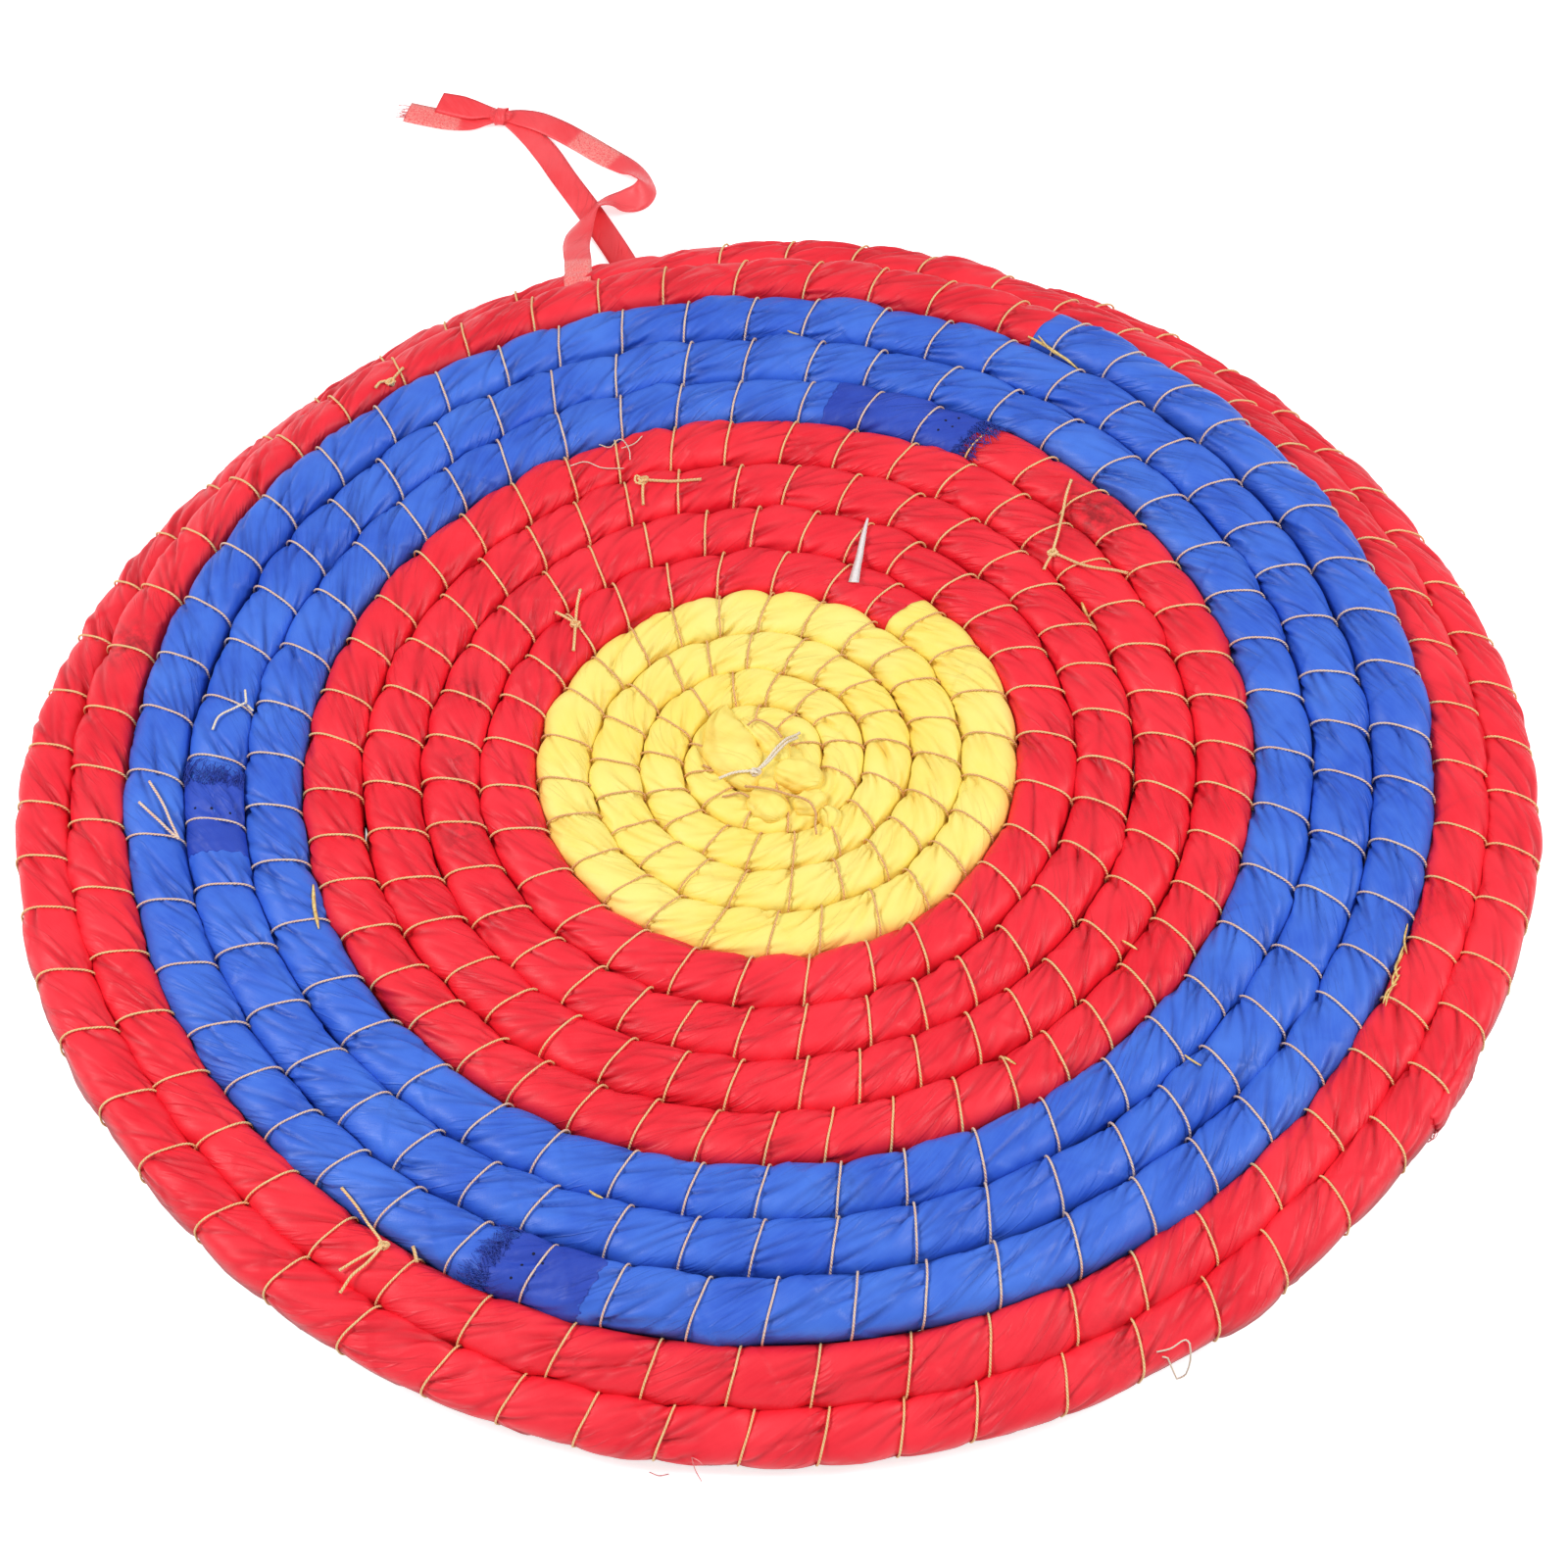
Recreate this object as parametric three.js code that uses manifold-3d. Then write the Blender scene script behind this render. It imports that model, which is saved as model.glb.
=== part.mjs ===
// A coiled archery target boss. One long straw rope, covered with strips of satin, winds outwards from
// the middle in a single layer, and a hanging ribbon is tied round its last turn.
// Millimetres. +Z is the shooting face, the floor is z = 0, and the origin is under the middle.
import * as THREE from 'three';
import * as BufferGeometryUtils from 'three/addons/utils/BufferGeometryUtils.js';
import Module from 'manifold-3d';

const wasm = await Module();
wasm.setup();

// The rope: its turns lie one pitch apart. It is thinner where it starts in the middle, and a little
// at the rim.
const ROPE_PITCH = 19.5;
const RIM_PITCH = 17.7;
const TURN_GAP = 0.5;
const TIP_PITCH = 11.6;
const TIP_RADIUS = 6.1;
const COVER_WALL = 2.6;
const CORE_CLEARANCE = 0.3;
const STRIP_GAP = 0.3;
const FOOT_DEPTH = 2;
const TAPER_TURNS = 5.5;
// The first turn is drawn in until it closes the middle, but for a small hole of this radius.
const MIDDLE_HOLE = 0.9;
const MIDDLE_TURNS = 0.92;

// How many turns each colour takes, and the direction in which the yellow one ends.
const YELLOW_TURNS = 4.75;
const INNER_RED_TURNS = 4.03;
const BLUE_TURNS = 3;
const OUTER_RED_TURNS = 2.01;
const YELLOW_END = THREE.MathUtils.degToRad(50);
// The blue strip is pieced together twice, that many turns after it starts.
const BLUE_JOINTS = [1.33, 2.52];

// The last turns sag: how steeply, in degrees, a turn lies against the one inside it, and the waves in that
// slope round the rim, with the direction in which each is steepest. The rim rests on three of these.
const RIM_SLOPE = 19.6;
const SLOPE_WAVES = [
  { count: 1, slope: 10, steepest: 100 },
  { count: 2, slope: 8.6, steepest: 99 },
  { count: 3, slope: 15, steepest: 26 },
];
const SAG_LEAD_TURNS = 0.21;
const SAG_TURNS = 0.98;

// Facets.
const STEPS = 24;
const COVER_SIDES = 8;
const CORE_SIDES = 5;
const THREAD_SIDES = 4;
const TURN = 2 * Math.PI;

const TOTAL_TURNS = YELLOW_TURNS + INNER_RED_TURNS + BLUE_TURNS + OUTER_RED_TURNS;
const BLUE_START = YELLOW_TURNS + INNER_RED_TURNS;
const BLUE_END = BLUE_START + BLUE_TURNS;
const START_ANGLE = YELLOW_END - TURN * YELLOW_TURNS;
const FLAT_ANGLE = TURN / COVER_SIDES;
// The core starts and ends a little inside its cover.
const CORE_START = 0.25;

// Where the cloth overlaps at its joints, in turns after the blue starts, and its layer there.
const BLUE_OVERLAPS = [0.03, 1.33, 2.52];
const OVERLAP_LENGTH = 26;
const OVERLAP_THICKNESS = 0.7;
// How far round the rope it reaches, in flats from the middle of its outer side.
const OVERLAP_FLAT_SHARES = [3.25, 2.5, 1.5, 0.75];

// A folded end of cloth that is tucked under the rim.
const TUCK_TURNS = 13.525;
const TUCK_LENGTH = 34;
const TUCK_THICKNESS = 3;
const TUCK_FLAT_SHARES = [-1.75, -1.5, -0.5, -0.25];

// The stitching thread's knots lie in the grooves between turns, at these places along the rope.
const THREAD = 1;
const TAIL_RISE = 5;
const KNOT_RADIUS = 1.5;
const TAIL_LENGTH = 15;
const KNOT_TURNS = [0.33, 4.99, 6.72, 6.91, 11.27, 11.96];

// The hanging ribbon goes through the last groove and round the last turn, and its legs meet in a knot.
// It crosses over by its shift from where it lies on top to where it comes out underneath.
const RIBBON_WIDTH = 10;
const RIBBON_THICKNESS = 0.6;
const RIBBON_CLEARANCE = 0.35;
const RIBBON_SHIFT = 12.4;
const SHIFT_START_SHARE = 0.3;
const WRAP_STEP = 1.2;
const RIBBON_DIRECTION = THREE.MathUtils.degToRad(102.5);
// The turns part over a few stations on each side of the ribbon.
const PARTED_STATIONS = 1;
const CLOSING_STATIONS = 3;
const RIBBON_KNOT = new THREE.Vector3(6, 4.5, 2.6);
// The legs' routes in shares of the loop's reach: along the rim, out from it, and up from the floor.
const LOOP_REACH = 102;
const LEFT_LEG_SHARES = [
  [0.106, 0.054, 0.198], [0.096, 0.126, 0.169], [0.081, 0.202, 0.129], [0.057, 0.275, 0.092],
  [0.024, 0.348, 0.055], [-0.027, 0.417, 0.035], [-0.093, 0.452, 0.024], [-0.161, 0.456, 0.020],
  [-0.220, 0.465, 0.019], [-0.254, 0.499, 0.019], [-0.246, 0.552, 0.019], [-0.208, 0.625, 0.019],
  [-0.138, 0.717, 0.019], [-0.068, 0.809, 0.019], [0.004, 0.897, 0.019], [0.074, 0.962, 0.019],
  [0.139, 0.992, 0.020],
];
const RIGHT_LEG_SHARES = [
  [-0.110, -0.000, 0.022], [-0.095, 0.099, 0.016], [-0.082, 0.186, 0.007], [-0.027, 0.434, 0.007],
  [0.034, 0.661, 0.007], [0.071, 0.806, 0.007], [0.110, 0.905, 0.007], [0.161, 0.974, 0.010],
];
const KNOT_SHARES = [0.197, 1.002, 0.031];
const LONG_TAIL_SHARES = [
  [0.256, 1.011, 0.025], [0.308, 1.013, 0.009], [0.385, 1.045, 0.007], [0.458, 1.098, 0.007],
  [0.526, 1.140, 0.007],
];
const SHORT_TAIL_SHARES = [
  [0.242, 1.036, 0.042], [0.287, 1.065, 0.028], [0.347, 1.111, 0.024], [0.414, 1.166, 0.023],
];

// The end of the rope is bound down to a blunt point, to a share of its full size.
const END_TAPER = 30;
const END_SHARE = 0.5;

const smooth = (x) => THREE.MathUtils.smoothstep(x, 0, 1);

/** How far the sag has set in: 0 where the boss is flat, and 1 in its last turns. */
const sagShare = (turns) => smooth((turns - (BLUE_END - SAG_LEAD_TURNS)) / SAG_TURNS);

/** The width that one turn takes at a place along the rope, counted in turns from its start. */
function ropePitch(turns) {
  const inner = THREE.MathUtils.lerp(TIP_PITCH, ROPE_PITCH, Math.min(turns / TAPER_TURNS, 1));
  return THREE.MathUtils.lerp(inner, RIM_PITCH, sagShare(turns));
}

/** The rope's distance from the middle while the boss is flat, and near enough in its last turns. */
function flatRadius(turns) {
  const taper = Math.min(turns, TAPER_TURNS);
  const growth = (ROPE_PITCH - TIP_PITCH) * taper * taper / (2 * TAPER_TURNS);
  return TIP_RADIUS + TIP_PITCH * taper + growth + ROPE_PITCH * (turns - taper);
}

/** How steeply a turn lies against the one inside it. */
function slopeAt(turns) {
  const angle = START_ANGLE + TURN * turns;
  const wave = ({ count, slope, steepest }) =>
    slope * Math.cos(count * (angle - THREE.MathUtils.degToRad(steepest)));
  const slope = SLOPE_WAVES.reduce((sum, each) => sum + wave(each), RIM_SLOPE);
  return THREE.MathUtils.degToRad(slope) * sagShare(turns);
}

/** Half the rope's width, across its flats. */
const halfWidth = (turns) => (ropePitch(turns) - TURN_GAP) / 2;

/** How far an even polygon reaches in a direction that is turned away from its flat. */
function reachAt(apothem, turned, sides) {
  const half = Math.PI / sides;
  const rest = Math.abs(turned) % (2 * half);
  return apothem * Math.cos(half - Math.min(rest, 2 * half - rest)) / Math.cos(half);
}

/** The ribbon parts the last two turns where it passes between them. */
function ribbonRoom(turns, angle) {
  if (turns < TOTAL_TURNS - 1) return 0;
  const away = Math.abs(angle - RIBBON_DIRECTION) % TURN;
  const steps = Math.min(away, TURN - away) * STEPS / TURN;
  const room = RIBBON_THICKNESS + 2 * RIBBON_CLEARANCE - TURN_GAP;
  return room * (1 - smooth((steps - PARTED_STATIONS) / CLOSING_STATIONS));
}

/** The rope's stations, an even number to each turn, so that the flats of all turns face each other. */
function coilStations() {
  const count = Math.ceil(TOTAL_TURNS * STEPS) + 1;
  const stations = [];
  for (let i = 0; i < count; i++) {
    const turns = i / STEPS;
    const slopeIn = slopeAt(turns);
    const slopeOut = turns + 1 > TOTAL_TURNS ? slopeIn : slopeAt(turns + 1);
    const tilt = (slopeIn + slopeOut) / 2;
    const angle = START_ANGLE + TURN * turns;
    const s = { turns, angle, half: halfWidth(turns), tilt, radius: flatRadius(turns), down: 0 };
    stations.push(s);
    if (i < STEPS) continue;
    const inner = stations[i - STEPS];
    const spacing = reachAt(inner.half, slopeIn - inner.tilt, COVER_SIDES)
      + reachAt(s.half, slopeIn - tilt, COVER_SIDES)
      + TURN_GAP + ribbonRoom(turns, angle);
    s.radius = inner.radius + spacing * Math.cos(slopeIn);
    s.down = inner.down + spacing * Math.sin(slopeIn);
  }
  return stations;
}

const stations = coilStations();

/** The lowest that the cover reaches, which becomes the foot. */
const LOWEST = Math.max(...stations.map((s) => s.down + reachAt(s.half, s.tilt, COVER_SIDES)));
const FACE_LEVEL = LOWEST - FOOT_DEPTH;

for (const s of stations) {
  const outward = new THREE.Vector3(Math.cos(s.angle), Math.sin(s.angle), 0);
  s.centre = outward.clone().multiplyScalar(s.radius).setZ(FACE_LEVEL - s.down);
  s.across = outward.clone().multiplyScalar(Math.cos(s.tilt)).setZ(-Math.sin(s.tilt));
  s.up = outward.clone().multiplyScalar(Math.sin(s.tilt)).setZ(Math.cos(s.tilt));
}

/** Moves the coil so that the middle of its outline is over the origin. */
function centreCoil() {
  const box = new THREE.Box3();
  for (const s of stations) {
    for (const side of [-1, 1]) box.expandByPoint(s.centre.clone().addScaledVector(s.across, side * s.half));
  }
  const middle = box.getCenter(new THREE.Vector3()).setZ(0);
  stations.forEach((s) => s.centre.sub(middle));
}
centreCoil();

/** The rope at any place along it, straight between two stations. */
function ropeAt(turns) {
  const at = THREE.MathUtils.clamp(turns * STEPS, 0, stations.length - 1);
  const i = Math.min(Math.floor(at), stations.length - 2);
  const [a, b] = [stations[i], stations[i + 1]];
  const mix = (key) => a[key].clone().lerp(b[key], at - i);
  return {
    turns, centre: mix('centre'), across: mix('across'), up: mix('up'),
    half: THREE.MathUtils.lerp(a.half, b.half, at - i),
  };
}

/** How many turns a short length along the rope takes. */
const turnsOf = (length, turns) => length / (TURN * flatRadius(turns));

/** The places between two ends of a strip: both ends, and every station between them. */
function placesBetween(from, to) {
  const places = [from];
  for (let i = Math.floor(from * STEPS) + 1; i < to * STEPS; i++) places.push(i / STEPS);
  places.push(to);
  return places;
}

/** A ring of points round the rope: an even polygon with a flat to each side, or a flat underneath. */
function ringAt(rope, apothem, sides, flatDown) {
  const radius = apothem / Math.cos(Math.PI / sides);
  const first = flatDown ? -Math.PI / 2 + Math.PI / sides : Math.PI / sides;
  const ring = [];
  for (let i = 0; i < sides; i++) {
    const turned = first + TURN * i / sides;
    ring.push(rope.centre.clone()
      .addScaledVector(rope.across, radius * Math.cos(turned))
      .addScaledVector(rope.up, radius * Math.sin(turned)));
  }
  return ring;
}

/** A closed body from rings of equal length. A closed loop of rings is a tube, an open one has two caps. */
function skinRings(rings, looped) {
  const sides = rings[0].length;
  const points = rings.flat().flatMap((p) => p.toArray());
  const faces = [];
  const pairs = looped ? rings.length : rings.length - 1;
  for (let r = 0; r < pairs; r++) {
    const next = (r + 1) % rings.length;
    for (let i = 0; i < sides; i++) {
      const j = (i + 1) % sides;
      const [a, b, c, d] = [r * sides + i, r * sides + j, next * sides + j, next * sides + i];
      faces.push(a, b, c, a, c, d);
    }
  }
  if (!looped) {
    const last = (rings.length - 1) * sides;
    for (let i = 1; i < sides - 1; i++) faces.push(0, i + 1, i, last, last + i, last + i + 1);
  }
  return closedGeometry(points, faces);
}

/** A geometry with its faces turned outwards. */
function closedGeometry(points, faces) {
  let volume = 0;
  const at = (i) => new THREE.Vector3().fromArray(points, 3 * i);
  for (let i = 0; i < faces.length; i += 3) {
    volume += at(faces[i]).dot(at(faces[i + 1]).cross(at(faces[i + 2])));
  }
  if (volume < 0) faces.reverse();
  const geometry = new THREE.BufferGeometry();
  geometry.setAttribute('position', new THREE.Float32BufferAttribute(points, 3));
  geometry.setIndex(faces);
  return geometry;
}

/** A closed sheet between two grids of points, rows by columns, that lie one thickness apart. */
function sheetBetween(lower, upper) {
  const [rows, columns] = [lower.length, lower[0].length];
  const points = [...lower.flat(), ...upper.flat()].flatMap((p) => p.toArray());
  const faces = [];
  const at = (layer, row, column) => layer * rows * columns + row * columns + column;
  const quad = (a, b, c, d) => faces.push(a, b, c, a, c, d);
  for (let r = 0; r + 1 < rows; r++) {
    for (let c = 0; c + 1 < columns; c++) {
      quad(at(1, r, c), at(1, r + 1, c), at(1, r + 1, c + 1), at(1, r, c + 1));
      quad(at(0, r, c), at(0, r, c + 1), at(0, r + 1, c + 1), at(0, r + 1, c));
    }
    quad(at(0, r, 0), at(0, r + 1, 0), at(1, r + 1, 0), at(1, r, 0));
    quad(at(1, r, columns - 1), at(1, r + 1, columns - 1), at(0, r + 1, columns - 1), at(0, r, columns - 1));
  }
  for (let c = 0; c + 1 < columns; c++) {
    quad(at(0, 0, c), at(1, 0, c), at(1, 0, c + 1), at(0, 0, c + 1));
    quad(at(1, rows - 1, c), at(0, rows - 1, c), at(0, rows - 1, c + 1), at(1, rows - 1, c + 1));
  }
  return closedGeometry(points, faces);
}

/** Two walls, outer and inner, joined at each end by a rim, or by a cap where the bore stops short. */
function sleeve(outer, inner, openStart, openEnd) {
  const points = [];
  const faces = [];
  const addWall = (rings, inward) => {
    const sides = rings[0].length;
    const base = points.length / 3;
    points.push(...rings.flat().flatMap((p) => p.toArray()));
    for (let r = 0; r + 1 < rings.length; r++) {
      for (let i = 0; i < sides; i++) {
        const j = (i + 1) % sides;
        const [a, b, c, d] = [base + r * sides + i, base + r * sides + j,
          base + (r + 1) * sides + j, base + (r + 1) * sides + i];
        if (inward) faces.push(a, c, b, a, d, c);
        else faces.push(a, b, c, a, c, d);
      }
    }
    return { first: base, last: base + (rings.length - 1) * sides, sides };
  };
  const out = addWall(outer, false);
  const bore = addWall(inner, true);
  const cap = (start, sides, flip) => {
    for (let i = 1; i < sides - 1; i++) {
      if (flip) faces.push(start, start + i + 1, start + i);
      else faces.push(start, start + i, start + i + 1);
    }
  };
  // A rim is the flat between two polygons: each takes a step in turn, whichever is behind.
  const rim = (a, sidesA, b, sidesB, flip) => {
    const turnedA = (i) => (i + 0.5) / sidesA;
    const turnedB = (i) => (i + 0.5) / sidesB;
    let i = 0;
    let j = 0;
    while (i < sidesA || j < sidesB) {
      const outerIsBehind = j >= sidesB || (i < sidesA && turnedA(i) < turnedB(j));
      const third = outerIsBehind ? a + (i + 1) % sidesA : b + (j + 1) % sidesB;
      const face = [a + i % sidesA, third, b + j % sidesB];
      faces.push(...(flip ? face.reverse() : face));
      if (outerIsBehind) i++;
      else j++;
    }
  };
  if (openStart) {
    rim(out.first, out.sides, bore.first, bore.sides, true);
  } else {
    cap(out.first, out.sides, true);
    cap(bore.first, bore.sides, false);
  }
  if (openEnd) {
    rim(out.last, out.sides, bore.last, bore.sides, false);
  } else {
    cap(out.last, out.sides, false);
    cap(bore.last, bore.sides, true);
  }
  return closedGeometry(points, faces);
}

/** How much of its full size the rope keeps where it is bound down at its end. */
function endShare(turns) {
  const left = (TOTAL_TURNS - turns) / turnsOf(END_TAPER, TOTAL_TURNS);
  return left >= 1 ? 1 : THREE.MathUtils.lerp(END_SHARE, 1, Math.sqrt(Math.max(left, 0)));
}

/**
 * A ring of the cover's outside. The first turn's inner flat reaches in to the middle, and the bound end
 * draws in towards the turn that it lies against.
 */
function coverRing(turns) {
  const rope = ropeAt(turns);
  const share = endShare(turns);
  rope.centre.addScaledVector(rope.across, (share - 1) * rope.half);
  const ring = ringAt(rope, rope.half * share, COVER_SIDES, false);
  if (turns < MIDDLE_TURNS) {
    const inwards = Math.max(flatRadius(turns) - rope.half - MIDDLE_HOLE, 0);
    const innerFlat = ring.slice(COVER_SIDES / 2 - 1, COVER_SIDES / 2 + 1);
    innerFlat.forEach((point) => point.addScaledVector(rope.across, -inwards));
  }
  return ring;
}

const CORE_END = TOTAL_TURNS - turnsOf(2 * END_TAPER, TOTAL_TURNS);
const boreHalf = (turns) => halfWidth(turns) - COVER_WALL;

/** One strip of satin round the rope, from one place along it to another. */
function coverStrip(from, to) {
  const isFirst = from === 0;
  const isLast = to === TOTAL_TURNS;
  const taper = turnsOf(END_TAPER, TOTAL_TURNS);
  const start = isFirst ? from : from + turnsOf(STRIP_GAP / 2, from);
  const end = isLast ? to : to - turnsOf(STRIP_GAP / 2, to);
  const outside = placesBetween(start, isLast ? to - taper : end);
  if (isLast) outside.push(to - taper / 2, to);
  const inside = placesBetween(isFirst ? CORE_START : start, isLast ? CORE_END : end);
  const bore = (turns) => ringAt(ropeAt(turns), boreHalf(turns), CORE_SIDES, true);
  return sleeve(outside.map(coverRing), inside.map(bore), !isFirst, !isLast);
}

/** The straw rope inside the covers, in one piece from the middle to the rim. */
function strawCore() {
  const from = CORE_START + turnsOf(STRIP_GAP, CORE_START);
  const to = CORE_END - turnsOf(STRIP_GAP, CORE_END);
  const ring = (turns) => ringAt(ropeAt(turns), boreHalf(turns) - CORE_CLEARANCE, CORE_SIDES, true);
  return skinRings(placesBetween(from, to).map(ring), false);
}

/** A closed geometry as a solid that can be cut. */
function solidOf(geometry) {
  const merged = BufferGeometryUtils.mergeVertices(geometry);
  return new wasm.Manifold(new wasm.Mesh({
    numProp: 3,
    vertProperties: new Float32Array(merged.attributes.position.array),
    triVerts: new Uint32Array(merged.index.array),
  }));
}

function geometryOf(solid) {
  const mesh = solid.getMesh();
  const geometry = new THREE.BufferGeometry();
  geometry.setAttribute('position', new THREE.Float32BufferAttribute(mesh.vertProperties, 3));
  geometry.setIndex(new THREE.Uint32BufferAttribute(mesh.triVerts, 1));
  return geometry;
}

/** Cuts off what reaches below the floor, so that the rim stands on flats. */
function cutFoot(geometry) {
  const span = 4 * flatRadius(TOTAL_TURNS);
  const slab = new THREE.BoxGeometry(span, span, ROPE_PITCH);
  slab.deleteAttribute('normal');
  slab.deleteAttribute('uv');
  slab.translate(0, 0, -ROPE_PITCH / 2);
  return geometryOf(solidOf(geometry).subtract(solidOf(slab)));
}

/** A point on the rope's flats, or a little off them, in a direction round the rope from its outer side. */
function onFlats(rope, off, turned) {
  const fromFlat = turned - FLAT_ANGLE * Math.round(turned / FLAT_ANGLE);
  const radius = (rope.half + off) / Math.cos(fromFlat);
  return rope.centre.clone()
    .addScaledVector(rope.across, radius * Math.cos(turned))
    .addScaledVector(rope.up, radius * Math.sin(turned));
}

/** A layer that lies on some of the rope's flats for a short length. */
function layerOn(turns, length, directions, off, thickness) {
  const half = turnsOf(length / 2, turns);
  const places = placesBetween(turns - half, turns + half);
  const grid = (distance) => places.map((t) => directions.map((d) => onFlats(ropeAt(t), distance, d)));
  return sheetBetween(grid(off), grid(off + thickness));
}

/** The overlapped end of a strip of cloth, over the top of the rope. */
function clothOverlap(turns) {
  const over = OVERLAP_FLAT_SHARES.map((flats) => flats * FLAT_ANGLE);
  return layerOn(turns, OVERLAP_LENGTH, over, STRIP_GAP, OVERLAP_THICKNESS);
}

/** The folded end of cloth, under the outer side of the last turn. */
function rimTuck() {
  const under = TUCK_FLAT_SHARES.map((flats) => flats * FLAT_ANGLE);
  return layerOn(TUCK_TURNS, TUCK_LENGTH, under, STRIP_GAP, TUCK_THICKNESS);
}

/** A knot in the thread, in the groove between a turn and the next one, with two short tails. */
function threadKnot(turns) {
  const inner = ropeAt(turns);
  const outer = ropeAt(turns + 1);
  const between = outer.centre.clone().sub(inner.centre);
  const width = between.length();
  const side = between.normalize();
  const along = new THREE.Vector3().crossVectors(inner.up, side).normalize();
  const up = new THREE.Vector3().crossVectors(side, along);
  const half = inner.half;
  // The V of the groove starts at the flats' corner and opens at one flat's angle to each side.
  const corner = half * Math.tan(FLAT_ANGLE / 2);
  const slack = (width - inner.half - outer.half) / 2;
  const rest = (KNOT_RADIUS + STRIP_GAP) / Math.sin(FLAT_ANGLE) - slack / Math.tan(FLAT_ANGLE);
  const centre = inner.centre.clone()
    .addScaledVector(side, half + slack)
    .addScaledVector(up, corner + Math.max(rest, KNOT_RADIUS));
  const ball = new THREE.IcosahedronGeometry(KNOT_RADIUS, 0);
  ball.deleteAttribute('normal');
  ball.deleteAttribute('uv');
  ball.translate(...centre.toArray());
  let knot = solidOf(ball);
  for (const way of [-1, 1]) {
    const end = centre.clone().addScaledVector(along, way * TAIL_LENGTH).addScaledVector(up, TAIL_RISE);
    const direction = end.clone().sub(centre).normalize();
    const across = new THREE.Vector3().crossVectors(direction, up).normalize();
    const raised = new THREE.Vector3().crossVectors(across, direction);
    const ring = (point) => ringAt({ centre: point, across, up: raised }, THREAD / 2, THREAD_SIDES, false);
    knot = knot.add(solidOf(skinRings([ring(centre), ring(end)], false)));
  }
  return geometryOf(knot);
}

/** The place on the last turn that lies in a direction from the middle. */
function onLastTurn(direction) {
  const turns = (direction - START_ANGLE) / TURN;
  return turns + Math.ceil(TOTAL_TURNS - 1 - turns);
}
const RIBBON_TURNS = onLastTurn(RIBBON_DIRECTION);

/** The rope under the ribbon, a little way along the rim from the ribbon's middle. */
const ropeByRibbon = (along) => ropeAt(RIBBON_TURNS + turnsOf(along, RIBBON_TURNS));

/** The ribbon's own directions: along the rim, out from it over the floor, and the place it starts from. */
const rimRope = ropeByRibbon(0);
const alongRim = ropeByRibbon(RIBBON_SHIFT).centre.sub(ropeByRibbon(-RIBBON_SHIFT).centre).normalize();
const outward = rimRope.centre.clone().setZ(0).normalize();
const rimFoot = rimRope.centre.clone().addScaledVector(outward, rimRope.half).setZ(0);

// The wrap covers five of the rope's flats: the top one, the three that face inwards, and the lowest.
const WRAP_FLATS = 5;
const WRAP_START = FLAT_ANGLE + FLAT_ANGLE / 2;
const WRAP_TURNED = WRAP_FLATS * FLAT_ANGLE;
const RIBBON_SIDES = [-RIBBON_WIDTH / 2, RIBBON_WIDTH / 2];

/** A place on the ribbon where it holds the rope: a share of the way round, and off its middle line. */
function onWrap(share, off, sideways) {
  const turned = WRAP_START + WRAP_TURNED * share;
  const crossed = smooth((share - SHIFT_START_SHARE) / (1 - SHIFT_START_SHARE));
  const along = THREE.MathUtils.lerp(RIBBON_SHIFT, -RIBBON_SHIFT, crossed) + sideways;
  return onFlats(ropeByRibbon(along), off, turned);
}

/** The part of the ribbon that holds the rope, from its top through the last groove to its underside. */
function ribbonWrap() {
  const corners = Array.from({ length: WRAP_FLATS + 1 }, (_, i) => i / WRAP_FLATS);
  const grid = (off) => corners.map((share) => RIBBON_SIDES.map((sideways) => onWrap(share, off, sideways)));
  return sheetBetween(grid(RIBBON_CLEARANCE), grid(RIBBON_CLEARANCE + RIBBON_THICKNESS));
}

/** A place in the legs' route. */
function fromShares([along, out, up]) {
  return rimFoot.clone()
    .addScaledVector(alongRim, along * LOOP_REACH)
    .addScaledVector(outward, out * LOOP_REACH)
    .setZ(up * LOOP_REACH);
}

/** The rows of a length of ribbon along a route, lower and upper, with its width level. */
function ribbonRows(route) {
  const lower = [];
  const upper = [];
  route.forEach((point, i) => {
    const before = route[Math.max(i - 1, 0)];
    const after = route[Math.min(i + 1, route.length - 1)];
    const direction = after.clone().sub(before);
    const width = new THREE.Vector3(-direction.y, direction.x, 0).setLength(RIBBON_WIDTH / 2);
    const face = new THREE.Vector3().crossVectors(direction, width).setLength(RIBBON_THICKNESS / 2);
    const edges = [point.clone().sub(width), point.clone().add(width)];
    lower.push(edges.map((p) => p.clone().sub(face)));
    upper.push(edges.map((p) => p.clone().add(face)));
  });
  return { lower, upper };
}

/** A leg starts just past the end of the wrap, on the rope: the left one on top, the right one underneath. */
function ribbonLeg(share, shares) {
  const isLeft = share === 0;
  const past = WRAP_STEP / rimRope.half / WRAP_TURNED * (isLeft ? -1 : 1);
  const start = (off) => RIBBON_SIDES.map((sideways) => onWrap(share + past, off, sideways));
  const inner = start(RIBBON_CLEARANCE);
  const outer = start(RIBBON_CLEARANCE + RIBBON_THICKNESS);
  const { lower, upper } = ribbonRows(shares.map(fromShares));
  return sheetBetween([isLeft ? inner : outer, ...lower], [isLeft ? outer : inner, ...upper]);
}

/** A tail of the ribbon, past the knot. */
function ribbonTail(shares) {
  const { lower, upper } = ribbonRows(shares.map(fromShares));
  return sheetBetween(lower, upper);
}

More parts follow.
